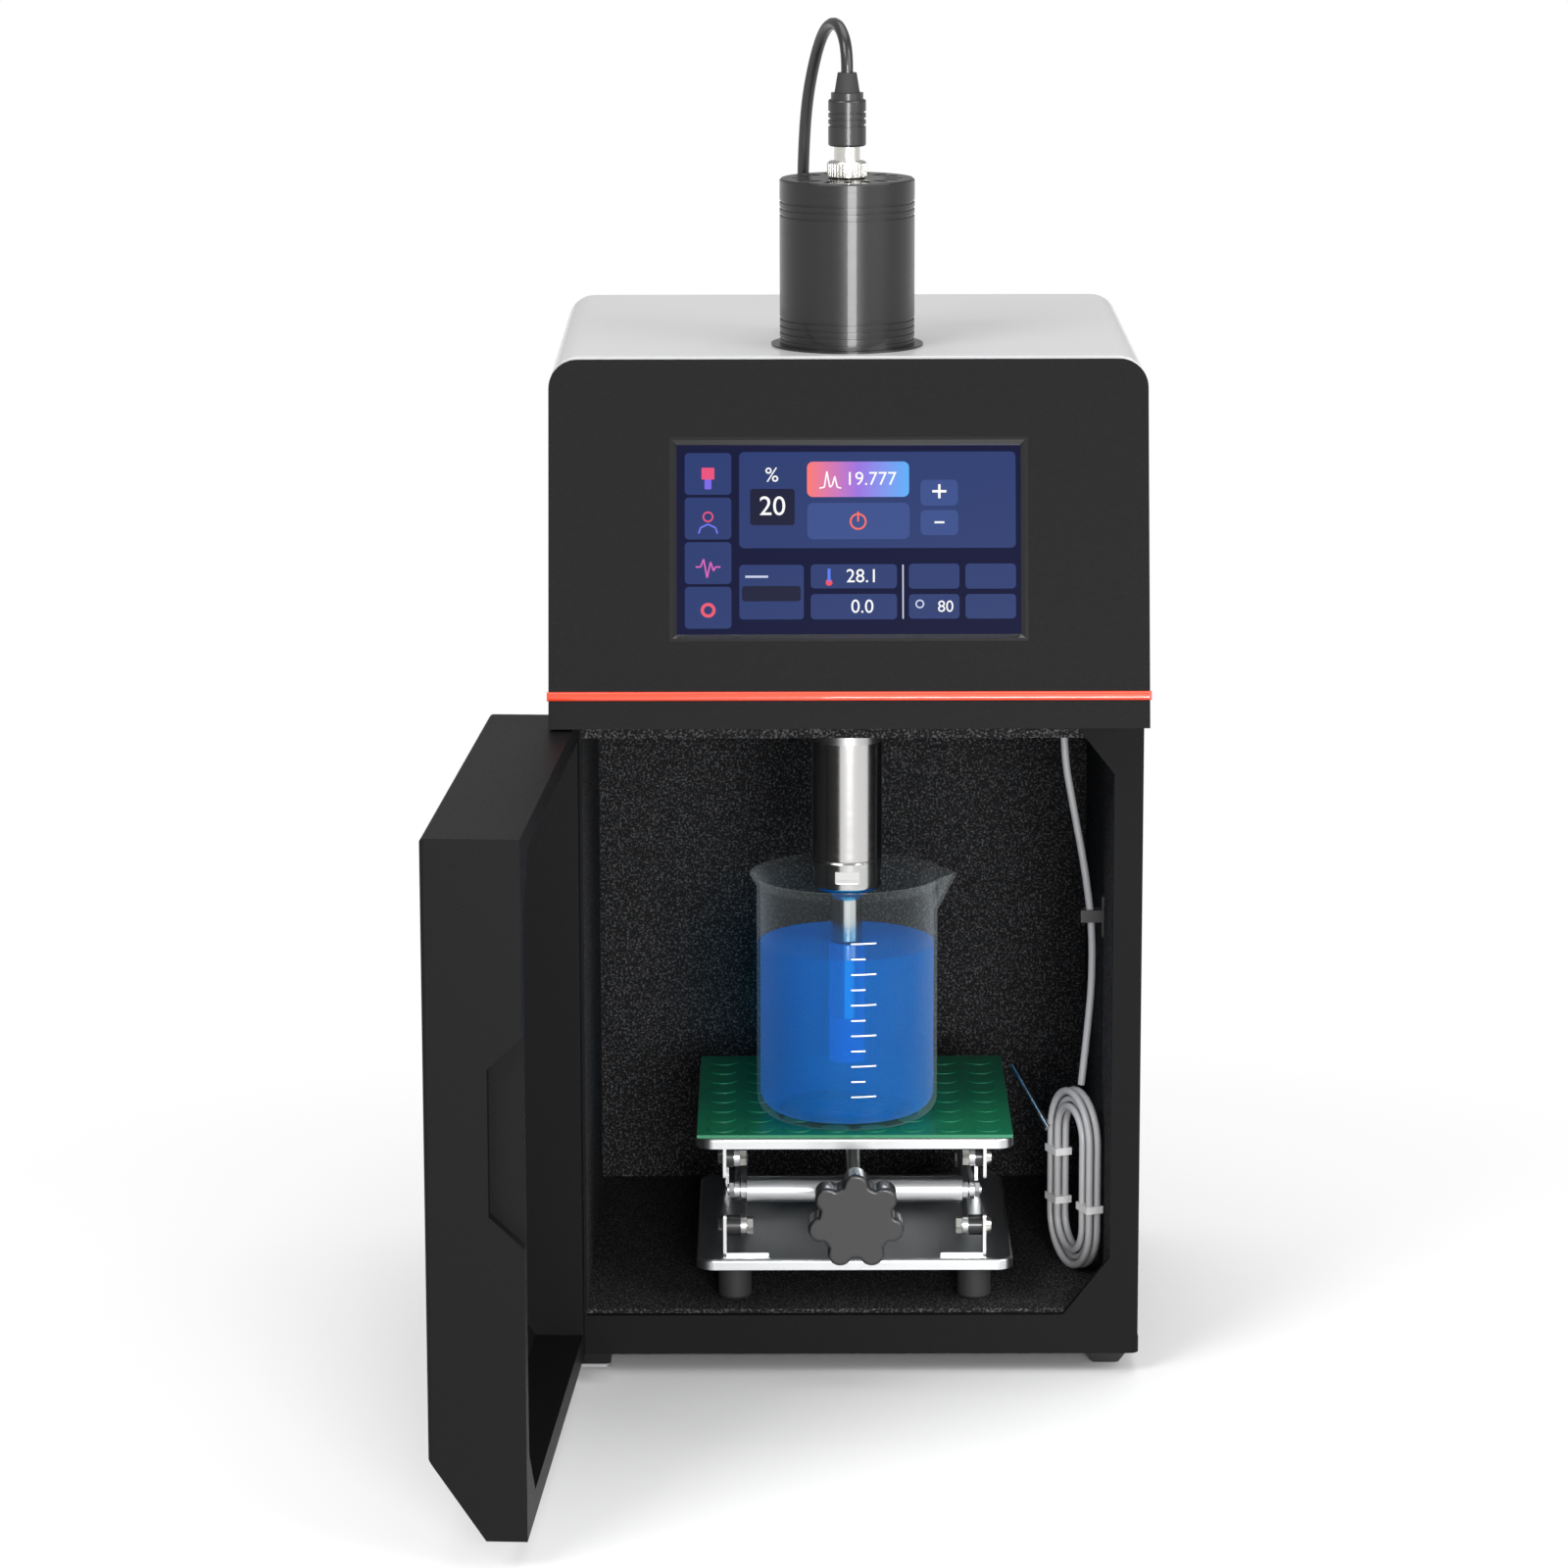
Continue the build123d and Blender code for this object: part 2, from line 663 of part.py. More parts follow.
stack_z = can_bottom_z + 6
with BuildPart() as piezo_rings:
    for index in range(ring_count):
        with BuildSketch(Plane.XY.offset(stack_z + index * (ring_thick + stack_gap / 2))) as ring_outline:
            Circle(stack_r)
            Circle(6, mode=Mode.SUBTRACT)
        extrude(amount=ring_thick)
save(piezo_rings.part, "piezo_rings")

back_mass_z = stack_z + ring_count * (ring_thick + stack_gap / 2)
with BuildPart() as back_mass:
    with BuildSketch(Plane.XY.offset(back_mass_z)) as mass_outline:
        Circle(stack_r)
    extrude(amount=back_mass_height)
    with BuildSketch(Plane.XY.offset(stack_z)) as stack_bolt:
        Circle(5.5)
    extrude(amount=back_mass_z - stack_z)
    with BuildSketch(Plane.XY.offset(back_mass_z + back_mass_height)) as stack_bolt_head:
        RegularPolygon(8, 6)
    extrude(amount=8)
save(back_mass.part, "back_mass")

# Horn: amplifier body, collar under the lining, and the screwed-on probe
with BuildPart() as horn_body:
    with BuildSketch(Plane.XY.offset(joint_z)) as horn_outline:
        Circle(horn_r)
    extrude(amount=stack_z - joint_z)
    chamfer(horn_body.faces().sort_by(Axis.Z)[0].edges(), 0.6)
save(horn_body.part, "horn_body")

with BuildPart() as horn_collar:
    with BuildSketch(Plane.XY.offset(collar_bottom_z)) as collar_outline:
        Circle(collar_r)
        Circle(horn_r, mode=Mode.SUBTRACT)
    extrude(amount=collar_top_z - collar_bottom_z)
save(horn_collar.part, "horn_collar")

with BuildPart() as probe_tip:
    with BuildSketch(Plane.XZ) as tip_profile:
        with BuildLine() as tip_line:
            Line((0, joint_z), (horn_r - 0.4, joint_z))
            Line((horn_r - 0.4, joint_z), (horn_r, joint_z - 0.8))
            Line((horn_r, joint_z - 0.8), (horn_r, coupling_bottom_z + 3))
            RadiusArc((horn_r, coupling_bottom_z + 3), (horn_r - 3, coupling_bottom_z), 3)
            Line((horn_r - 3, coupling_bottom_z), (neck_r + neck_fillet, coupling_bottom_z))
            RadiusArc((neck_r + neck_fillet, coupling_bottom_z), (neck_r, coupling_bottom_z - neck_fillet),
                      -neck_fillet)
            Line((neck_r, coupling_bottom_z - neck_fillet), (neck_r, tip_step_z + 2))
            Line((neck_r, tip_step_z + 2), (tip_r, tip_step_z))
            Line((tip_r, tip_step_z), (tip_r, tip_z))
            Line((tip_r, tip_z), (0, tip_z))
            Line((0, tip_z), (0, joint_z))
        make_face()
    revolve(axis=Axis.Z)
    flat_z = (joint_z + coupling_bottom_z) / 2 + 0.5
    for turn in (0, 90):
        flat_plane = Plane(origin=(0, 0, flat_z), x_dir=(cos(radians(turn)), sin(radians(turn)), 0),
                           z_dir=(sin(radians(turn)), -cos(radians(turn)), 0))
        with BuildSketch(flat_plane.offset(horn_r - 1.1), flat_plane.offset(-horn_r + 1.1 - 3)) as flats:
            Rectangle(flat_width, flat_height)
        extrude(amount=3, mode=Mode.SUBTRACT)
save(probe_tip.part, "probe_tip")

# Plug stack on the cap: knurled nut, barrel, moulded sleeve and strain relief
barrel_z = nut_bottom_z + nut_height
sleeve_z = barrel_z + barrel_height
shoulder_z = sleeve_z + sleeve_height
boot_z = shoulder_z + shoulder_height
with BuildPart() as plug_nut:
    with BuildSketch(Plane.XY.offset(nut_bottom_z)) as nut_outline:
        Circle(nut_r)
    extrude(amount=nut_height)
    chamfer(plug_nut.edges().filter_by(GeomType.CIRCLE), 0.8)
    with BuildSketch(Plane.XY.offset(barrel_z)) as barrel_outline:
        Circle(barrel_r)
    extrude(amount=barrel_height)
save(plug_nut.part, "plug_nut")

with BuildPart() as plug_sleeve:
    with BuildSketch(Plane.XY.offset(sleeve_z)) as sleeve_outline:
        Circle(sleeve_r)
    extrude(amount=sleeve_height)
    fillet(plug_sleeve.edges().filter_by(GeomType.CIRCLE), 1)
    with BuildSketch(Plane.XY.offset(shoulder_z - 0.5)) as shoulder_outline:
        Circle(shoulder_r)
    extrude(amount=shoulder_height + 0.5)
    for ring in range(3):
        with BuildSketch(Plane.XY.offset(sleeve_z + 9 + ring * 3)) as sleeve_groove:
            Circle(sleeve_r)
            Circle(sleeve_r - 0.7, mode=Mode.SUBTRACT)
        extrude(amount=1.2, mode=Mode.SUBTRACT)
save(plug_sleeve.part, "plug_sleeve")

with BuildPart() as strain_relief:
    with BuildSketch(Plane.XY.offset(boot_z)) as boot_low:
        Circle(boot_r)
    with BuildSketch(Plane.XY.offset(boot_top_z)) as boot_high:
        Circle(boot_tip_r)
    loft()
save(strain_relief.part, "strain_relief")


def rounded_route(points):
    """Radii for a cord's corners: 0.45 of the shorter run over the tangent of half the turn."""
    radii = []
    for before, here, after in zip(points, points[1:], points[2:]):
        run_in, run_out = Vector(*here) - Vector(*before), Vector(*after) - Vector(*here)
        half_turn = radians(run_in.get_angle(run_out)) / 2
        radii.append(0.45 * min(run_in.length, run_out.length) / tan(half_turn))
    return radii


def report_route(name, radii, tube, radius, path_length):
    """Print a cord's radii, and its volume beside its section times its length."""
    print(name, "radii", [round(r, 1) for r in radii])
    print(name, "length", round(path_length, 1), "volume ratio",
          round(tube.volume / (pi * radius ** 2 * path_length), 4))


# Transducer lead: out of the boot, over in one loop and down to a gland behind the can
gland_top_z = head_top_z + gland_height
transducer_route = [
    (0, 0, boot_top_z),
    (0, 0, 620),
    (-2.5, 8.5, 629.5),
    (-6.5, 21, 632),
    (-11, 32.5, 626),
    (-15, 41, 612),
    (-18.5, 46.5, 592),
    (-20, 50, 568),
    (-20.5, 51.8, 541),
    (-19.5, 51, 516),
    (-19.5, 51, gland_top_z),
]
transducer_radii = rounded_route(transducer_route)
with BuildPart() as transducer_cable:
    with BuildLine() as transducer_path:
        FilletPolyline(*transducer_route, radius=transducer_radii)
    with BuildSketch(Plane(origin=transducer_route[0], z_dir=transducer_path.wire() % 0)) as cable_round:
        Circle(cable_r)
    sweep()
report_route("transducer_cable", transducer_radii, transducer_cable.part, cable_r,
             transducer_path.wire().length)
save(transducer_cable.part, "transducer_cable")

with BuildPart() as cable_gland:
    with BuildSketch(Plane.XY.offset(head_top_z)) as gland_hex:
        with Locations((-19.5, 51)):
            RegularPolygon(gland_r, 6)
    extrude(amount=0.5 * gland_height)
    with BuildSketch(Plane.XY.offset(head_top_z + 0.5 * gland_height)) as gland_round:
        with Locations((-19.5, 51)):
            Circle(gland_r - 1.5)
    extrude(amount=0.5 * gland_height)
    fillet(cable_gland.faces().sort_by(Axis.Z)[-1].edges(), 1.2)
save(cable_gland.part, "cable_gland")

# Temperature lead: down from the lining, through a wall clip, into a tied coil
coil_bottom_z = floor_felt_top_z + touch_gap
coil_mid_z = coil_bottom_z + coil_height / 2
coil_top_z = coil_bottom_z + coil_height
temp_route = [
    (103.6, 26.6, lining_roof_z - ceiling_felt),
    (103.6, 26.6, 285),
    (108.6, 26.8, 258),
    (114.2, 26.6, 229),
    (118.0, 26.6, 201),
    (118.4, 26.8, 174),
    (116.3, 26.2, 148),
    (113.5, 25.6, coil_top_z),
]
temp_radii = rounded_route(temp_route)
with BuildPart() as temp_cable:
    with BuildLine() as temp_path:
        FilletPolyline(*temp_route, radius=temp_radii)
    with BuildSketch(Plane(origin=temp_route[0], z_dir=temp_path.wire() % 0)) as lead_round:
        Circle(lead_r)
    sweep()
report_route("temp_cable", temp_radii, temp_cable.part, lead_r, temp_path.wire().length)
save(temp_cable.part, "temp_cable")

coil_across = Vector(cos(radians(coil_turn)), -sin(radians(coil_turn)), 0)
coil_plane = Plane(
    origin=(coil_center_x, coil_center_y, coil_mid_z),
    x_dir=coil_across,
    z_dir=coil_across.cross(Vector(0, 0, 1)),
)
with BuildPart() as temp_cable_coil:
    with BuildSketch(coil_plane) as coil_outline:
        SlotOverall(coil_height, coil_width, rotation=90)
        SlotOverall(coil_height - 2 * coil_band, coil_width - 2 * coil_band, rotation=90,
                    mode=Mode.SUBTRACT)
    extrude(amount=coil_thick / 2, both=True)
    fillet(temp_cable_coil.edges(), 0.4 * coil_thick)
save(temp_cable_coil.part, "temp_cable_coil")

rod_foot = Vector(98.6, 38.5, 96)
rod_head = Vector(82, 64, 121)
rod_way = (rod_head - rod_foot).normalized()
with BuildPart() as temp_probe:
    with BuildSketch(Plane(origin=rod_foot, z_dir=rod_way)) as ferrule_round:
        Circle(ferrule_r)
    extrude(amount=ferrule_length)
    with BuildSketch(Plane(origin=rod_foot + rod_way * ferrule_length, z_dir=rod_way)) as rod_round:
        Circle(rod_r)
    extrude(amount=(rod_head - rod_foot).length - ferrule_length)
save(temp_probe.part, "temp_probe")

with BuildPart() as lead_clip:
    with BuildSketch(Plane.YZ.offset(opening_half - clip_thick)) as clip_base:
        with Locations((clip_y, clip_z)):
            RectangleRounded(clip_wide, clip_tall, 2)
    extrude(amount=clip_thick)
    with BuildSketch(Plane.XY.offset(clip_z - 3)) as clip_loop:
        with BuildLine() as clip_line:
            Polyline(
                (opening_half - clip_thick, clip_y - 2.2 - clip_thick),
                (opening_half - clip_thick - 10, clip_y - 2.2 - clip_thick),
                (opening_half - clip_thick - 10, clip_y + 2.2 + clip_thick),
                (opening_half - clip_thick, clip_y + 2.2 + clip_thick),
                (opening_half - clip_thick, clip_y + 2.2),
                (opening_half - clip_thick - 9, clip_y + 2.2),
                (opening_half - clip_thick - 9, clip_y - 2.2),
                (opening_half - clip_thick, clip_y - 2.2),
                close=True,
            )
        make_face()
    extrude(amount=6)
save(lead_clip.part, "lead_clip")

# Lifting table. Each side has crossed arms; the mid tubes draw together as the screw turns.
jack_mid_y = jack_front_y + jack_size / 2
front_pivot_y = jack_front_y + pivot_inset
rear_pivot_y = jack_front_y + jack_size - pivot_inset
base_pivot_z = jack_base_top_z + base_pivot_rise
mid_z = (jack_base_top_z + jack_top_z - jack_plate) / 2 - (jack_plate - arm_fold) / 2 - 0.75
mid_rise = mid_z - base_pivot_z
top_pivot_z = mid_z + mid_rise
front_mid_y = front_pivot_y + arm_fold
rear_mid_y = rear_pivot_y - arm_fold
arm_length = sqrt((rear_pivot_y - front_mid_y) ** 2 + mid_rise ** 2)
outer_arm_x = arm_inner_x + arm_thick + arm_gap
rest_angle = degrees(asin(mid_rise / arm_length))
high_angle = degrees(asin((mid_rise + lift_travel / 2) / arm_length)) - rest_angle
print("pivots", front_pivot_y, rear_pivot_y, base_pivot_z, mid_z, top_pivot_z, front_mid_y, rear_mid_y)
print("arm", round(arm_length, 3), "rest", round(rest_angle, 3), "raised by", round(high_angle, 3))


def plate_pan(name, top_z):
    """Pressed square plate with a shallow lip turned down all round."""
    with BuildPart() as pan:
        with BuildSketch(Plane.XY.offset(top_z)) as pan_outline:
            with Locations((jack_x, jack_mid_y)):
                RectangleRounded(jack_size, jack_size, jack_corner)
        extrude(amount=-jack_lip)
        fillet(pan.faces().sort_by(Axis.Z)[-1].edges(), jack_plate)
        with BuildSketch(Plane.XY.offset(top_z - jack_lip)) as pan_room:
            with Locations((jack_x, jack_mid_y)):
                RectangleRounded(jack_size - 2 * jack_plate, jack_size - 2 * jack_plate,
                                 jack_corner - jack_plate)
        extrude(amount=jack_lip - jack_plate, mode=Mode.SUBTRACT)
    save(pan.part, name)


plate_pan("jack_base_plate", jack_base_top_z)
plate_pan("jack_top_plate", jack_top_z)

jack_foot_x = jack_size / 2 - jack_foot_inset
with BuildPart() as jack_feet:
    with BuildSketch(Plane.XY.offset(floor_felt_top_z)) as jack_foot_round:
        with Locations((jack_x, jack_mid_y)):
            with GridLocations(2 * jack_foot_x, 2 * jack_foot_x, 2, 2):
                Circle(jack_foot_r)
    extrude(amount=jack_base_top_z - jack_plate - floor_felt_top_z)
    chamfer(jack_feet.faces().sort_by(Axis.Z)[:4].edges(), 1.5)
save(jack_feet.part, "jack_feet")


def bracket_set(name, seat_z, pivot_z, pivot_ys):
    """Four bent brackets: a foot on the plate and a leg that takes a pivot bolt."""
    rise = 1 if pivot_z > seat_z else -1
    leg_end = pivot_z + rise * leg_rise
    with BuildPart() as brackets:
        for side in (-1, 1):
            for pivot_y in pivot_ys:
                leg_plane = Plane.YZ.offset(jack_x + side * leg_x)
                with BuildSketch(leg_plane) as leg_face:
                    with Locations((pivot_y, (seat_z + leg_end) / 2)):
                        RectangleRounded(leg_width, abs(leg_end - seat_z), 1.4)
                    with Locations((pivot_y, pivot_z)):
                        Circle(bolt_r, mode=Mode.SUBTRACT)
                extrude(amount=side * leg_thick)
                foot_x_mid = jack_x + side * (leg_x + leg_thick / 2 - bracket_foot / 2 - leg_thick / 2)
                with BuildSketch(Plane.XY.offset(seat_z)) as foot_face:
                    with Locations((foot_x_mid, pivot_y)):
                        Rectangle(bracket_foot, leg_width)
                extrude(amount=rise * leg_thick)
    save(brackets.part, name)


bracket_set("jack_base_brackets", jack_base_top_z, base_pivot_z, (front_pivot_y, rear_pivot_y))
bracket_set("jack_top_brackets", jack_top_z - jack_plate, top_pivot_z, (front_pivot_y, rear_pivot_y))


def pivot_bolts(name, spots):
    """Pivot bolts with a domed head outside each bracket leg and a nut inside its arm."""
    with BuildPart() as bolts:
        for side in (-1, 1):
            for pivot_y, pivot_z, layer_x in spots:
                def face(distance):
                    return Plane(origin=(jack_x + side * distance, pivot_y, pivot_z), x_dir=(0, 1, 0),
                                 z_dir=(side, 0, 0))
                with BuildSketch(face(layer_x - side_gap)) as shank:
                    Circle(bolt_r)
                extrude(amount=leg_x + leg_thick - layer_x + side_gap)
                with BuildSketch(face(leg_x + leg_thick)) as head:
                    Circle(bolt_head_r)
                extrude(amount=bolt_head, taper=25)
                with BuildSketch(face(layer_x - side_gap)) as nut:
                    RegularPolygon(bolt_nut_r, 6)
                extrude(amount=-bolt_nut)
    save(bolts.part, name)


def pivot_spacers(name, spots):
    """Plastic sleeves that keep each arm off its bracket leg."""
    with BuildPart() as spacers:
        for side in (-1, 1):
            for pivot_y, pivot_z, layer_x in spots:
                start = layer_x + arm_thick + side_gap
                spacer_plane = Plane(origin=(jack_x + side * start, pivot_y, pivot_z), x_dir=(0, 1, 0),
                                     z_dir=(side, 0, 0))
                with BuildSketch(spacer_plane) as sleeve:
                    Circle(spacer_r)
                    Circle(bolt_r, mode=Mode.SUBTRACT)
                extrude(amount=leg_x - start)
    save(spacers.part, name)


base_spots = ((front_pivot_y, base_pivot_z, arm_inner_x), (rear_pivot_y, base_pivot_z, outer_arm_x))
top_spots = ((front_pivot_y, top_pivot_z, outer_arm_x), (rear_pivot_y, top_pivot_z, arm_inner_x))
pivot_bolts("base_pivot_bolts", base_spots)
pivot_bolts("top_pivot_bolts", top_spots)
pivot_spacers("base_pivot_spacers", base_spots)
pivot_spacers("top_pivot_spacers", top_spots)


def arm_pair(name, low_end, high_end, layer_x):
    """A left and a right flat arm between two pivots, with round ends and a bolt hole in each."""
    with BuildPart() as arms:
        for side in (-1, 1):
            with BuildSketch(Plane.YZ.offset(jack_x + side * layer_x)) as arm_face:
                mid = ((low_end[0] + high_end[0]) / 2, (low_end[1] + high_end[1]) / 2)
                lean = degrees(atan2(high_end[1] - low_end[1], high_end[0] - low_end[0]))
                with Locations(mid):
                    SlotCenterToCenter(arm_length, arm_width, rotation=lean)
                with Locations(low_end, high_end):
                    Circle(bolt_r + bolt_fit, mode=Mode.SUBTRACT)
            extrude(amount=side * arm_thick)
    save(arms.part, name)


front_low, rear_low = (front_pivot_y, base_pivot_z), (rear_pivot_y, base_pivot_z)
front_mid, rear_mid = (front_mid_y, mid_z), (rear_mid_y, mid_z)
front_top, rear_top = (front_pivot_y, top_pivot_z), (rear_pivot_y, top_pivot_z)
arm_pair("lower_arms_to_front", rear_low, front_mid, outer_arm_x)
arm_pair("lower_arms_to_rear", front_low, rear_mid, arm_inner_x)
arm_pair("upper_arms_from_front", front_mid, rear_top, arm_inner_x)
arm_pair("upper_arms_from_rear", rear_mid, front_top, outer_arm_x)


def cross_tube(name, mid_y):
    """Mid tube across the table, with a pin and a nut beyond the arms at each end."""
    with BuildPart() as tube:
        with BuildSketch(Plane.YZ.offset(jack_x)) as tube_round:
            with Locations((mid_y, mid_z)):
                Circle(tube_r)
        extrude(amount=arm_inner_x - side_gap, both=True)
        with BuildSketch(Plane.YZ.offset(jack_x)) as pin_round:
            with Locations((mid_y, mid_z)):
                Circle(bolt_r)
        extrude(amount=outer_arm_x + arm_thick + side_gap + bolt_nut, both=True)
        for side in (-1, 1):
            with BuildSketch(Plane.YZ.offset(jack_x + side * (outer_arm_x + arm_thick + side_gap))) as end_nut:
                with Locations((mid_y, mid_z)):
                    RegularPolygon(bolt_nut_r, 6)
            extrude(amount=side * 0.7 * bolt_nut)
        with BuildSketch(Plane.XZ.offset(-mid_y)) as screw_hole:
            with Locations((jack_x, mid_z)):
                Circle(screw_r + screw_fit)
        extrude(amount=2 * tube_r, both=True, mode=Mode.SUBTRACT)
    save(tube.part, name)


cross_tube("front_cross_tube", front_mid_y)
cross_tube("rear_cross_tube", rear_mid_y)

with BuildPart() as lift_screw:
    with BuildSketch(Plane.XZ.offset(-(knob_front_y + knob_thick))) as screw_round:
        with Locations((jack_x, mid_z)):
            Circle(screw_r)
    extrude(amount=-(rear_mid_y + screw_tail - knob_front_y - knob_thick))
save(lift_screw.part, "lift_screw")

with BuildPart() as star_knob:
    with BuildSketch(Plane.XZ.offset(-knob_front_y)) as knob_outline:
        with Locations((jack_x, mid_z)):
            Circle(knob_r - 0.9 * lobe_r)
            with PolarLocations(knob_r - lobe_r, knob_lobes, start_angle=90):
                Circle(lobe_r)
        fillet(knob_outline.vertices(), knob_fillet)
    extrude(amount=-knob_thick)
    fillet(star_knob.faces().sort_by(Axis.Y)[0].edges(), 1.6)
    with BuildSketch(Plane.XZ.offset(-(knob_front_y + knob_thick))) as hub_round:
        with Locations((jack_x, mid_z)):
            Circle(hub_r)
            Circle(screw_r, mode=Mode.SUBTRACT)
    extrude(amount=-hub_length)
save(star_knob.part, "star_knob")

with BuildPart() as table_mat:
    with BuildSketch(Plane.XY.offset(jack_top_z)) as mat_outline:
        with Locations((jack_x, jack_mid_y)):
            Rectangle(jack_size - 1, jack_size - 1)
    extrude(amount=mat_thick)
save(table_mat.part, "table_mat")

# Beaker with a flared rim and a spout towards +X
beaker_z = jack_top_z + mat_thick
rim_z = beaker_z + beaker_height
inner_r = beaker_r - beaker_wall


def spout_wedge(grow):
    """Outline of the spout at the rim, drawn out to a point, less a wall when grow is negative."""
    spread = radians(spout_half_angle)
    root_r = beaker_r + rim_flare + grow
    with BuildSketch(Plane.XY.offset(rim_z), mode=Mode.PRIVATE) as wide:
        with BuildLine() as wide_line:
            Polyline(
                (0.55 * beaker_r, 0),
                (root_r * cos(spread), root_r * sin(spread)),
                (beaker_r + spout_reach + grow, 0),
                (root_r * cos(spread), -root_r * sin(spread)),
                close=True,
            )
        make_face()
    with BuildSketch(Plane.XY.offset(rim_z - spout_drop), mode=Mode.PRIVATE) as narrow:
        with BuildLine() as narrow_line:
            Polyline(
                (0.55 * beaker_r, 0),
                ((beaker_r + grow) * cos(spread / 3), (beaker_r + grow) * sin(spread / 3)),
                (beaker_r + 0.6 + grow, 0),
                ((beaker_r + grow) * cos(spread / 3), -(beaker_r + grow) * sin(spread / 3)),
                close=True,
            )
        make_face()
    return wide.sketch, narrow.sketch


with BuildPart() as beaker:
    with BuildSketch(Plane.XZ) as beaker_outside:
        with BuildLine() as outside_line:
            Line((0, beaker_z), (beaker_r - beaker_heel, beaker_z))
            RadiusArc((beaker_r - beaker_heel, beaker_z), (beaker_r, beaker_z + beaker_heel), -beaker_heel)
            Line((beaker_r, beaker_z + beaker_heel), (beaker_r, rim_z - rim_height))
            Line((beaker_r, rim_z - rim_height), (beaker_r + rim_flare, rim_z))
            Line((beaker_r + rim_flare, rim_z), (0, rim_z))
            Line((0, rim_z), (0, beaker_z))
        make_face()
    revolve(axis=Axis.Z)
    outer_wide, outer_narrow = spout_wedge(0)
    loft(sections=[outer_narrow, outer_wide])
    with BuildSketch(Plane.XZ) as beaker_inside:
        with BuildLine() as inside_line:
            Line((0, beaker_z + beaker_floor), (inner_r - beaker_heel, beaker_z + beaker_floor))
            RadiusArc((inner_r - beaker_heel, beaker_z + beaker_floor),
                      (inner_r, beaker_z + beaker_floor + beaker_heel), -beaker_heel)
            Line((inner_r, beaker_z + beaker_floor + beaker_heel), (inner_r, rim_z - rim_height))
            Line((inner_r, rim_z - rim_height), (inner_r + rim_flare, rim_z))
            Line((inner_r + rim_flare, rim_z), (0, rim_z))
            Line((0, rim_z), (0, beaker_z + beaker_floor))
        make_face()
    revolve(axis=Axis.Z, mode=Mode.SUBTRACT)
    inner_wide, inner_narrow = spout_wedge(-beaker_wall)
    loft(sections=[inner_narrow, inner_wide], mode=Mode.SUBTRACT)
save(beaker.part, "beaker")

# Sample: fills the beaker to its level, round the room that the probe takes over the lift's travel
level_z = beaker_z + liquid_level
with BuildPart() as sample_liquid:
    with BuildSketch(Plane.XZ) as liquid_profile:
        with BuildLine() as liquid_line:
            Line((0, beaker_z + beaker_floor), (inner_r - beaker_heel, beaker_z + beaker_floor))
            RadiusArc((inner_r - beaker_heel, beaker_z + beaker_floor),
                      (inner_r, beaker_z + beaker_floor + beaker_heel), -beaker_heel)
            Line((inner_r, beaker_z + beaker_floor + beaker_heel), (inner_r, level_z))
            Line((inner_r, level_z), (0, level_z))
            Line((0, level_z), (0, beaker_z + beaker_floor))
        make_face()
    revolve(axis=Axis.Z)
    with BuildSketch(Plane.XY.offset(level_z)) as probe_room:
        Circle(neck_r + horn_room)
    extrude(amount=-(level_z - tip_z + lift_travel + horn_room), mode=Mode.SUBTRACT)
save(sample_liquid.part, "sample_liquid")
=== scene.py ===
import json
import logging
from dataclasses import dataclass, field
from enum import Enum
from math import cos, pi, radians, sin, sqrt

import bpy
from mathutils import Matrix, Vector


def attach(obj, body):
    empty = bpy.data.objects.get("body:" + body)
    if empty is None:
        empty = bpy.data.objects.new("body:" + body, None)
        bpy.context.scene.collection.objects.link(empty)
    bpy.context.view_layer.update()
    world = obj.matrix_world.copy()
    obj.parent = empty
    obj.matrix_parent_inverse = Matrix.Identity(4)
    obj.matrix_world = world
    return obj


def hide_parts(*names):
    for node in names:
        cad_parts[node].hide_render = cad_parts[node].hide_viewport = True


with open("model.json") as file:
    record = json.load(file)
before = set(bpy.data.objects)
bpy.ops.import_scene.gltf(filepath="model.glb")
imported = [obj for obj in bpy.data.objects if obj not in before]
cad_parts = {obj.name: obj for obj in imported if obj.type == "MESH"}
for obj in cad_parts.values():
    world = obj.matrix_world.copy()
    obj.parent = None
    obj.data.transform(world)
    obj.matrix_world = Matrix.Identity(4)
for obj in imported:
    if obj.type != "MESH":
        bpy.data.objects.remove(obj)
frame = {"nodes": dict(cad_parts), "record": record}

log = logging.getLogger("sonicator")
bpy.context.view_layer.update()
MM = 0.001
FACE_ORIGIN = Vector((0, -93.5, 320))
FACE_UP = Vector((0, 41, 164)).normalized()
FACE_OUT = Vector((0, -FACE_UP.z, FACE_UP.y))
TABLE_X = 3.3

DISPLAY_PIXELS = (692, 451, 1039, 644)
DISPLAY_WIDE, DISPLAY_TALL, DISPLAY_TOP = 157.0, 86.8, 130.1
SWEEP_BOX = (823.5, 468, 926.5, 504)
TILE_LIFT, UPPER_LIFT, SIGN_LIFT, STROKE_LIFT, LABEL_LIFT = -3.92, -3.88, -3.84, -3.82, -3.8
LETTER_SCALE = 0.62
SCREEN_GAMMA = 2.2
FULL_GLOW = 1.0
CORNER_STEPS = 5
RING_STEPS = 32
GRAIN_DEPTH, GRAIN_SHEEN = 0.2, 0.25
FELT_DEPTH, FLECK_GAIN = 0.4, 10.0
STREAK_MM, STREAK_STRETCH, STREAK_SHEEN = 1.2, (0.03, 0.03, 1.0), 0.12
# Rim terms of the clear finishes: a painted highlight that shows the opaque lit surface at grazing
# angles.
RIM_BLEND, PAINTED_RIM_HIGHLIGHT, RIM_POWER = 0.2, 0.85, 2.5
NOISE_DETAIL = 3.0
FLECK_FROM, FLECK_TO = 0.5, 0.72
UNIT_SIDES = 20
CORD_ROUNDING, CORD_STEPS = 4, 10


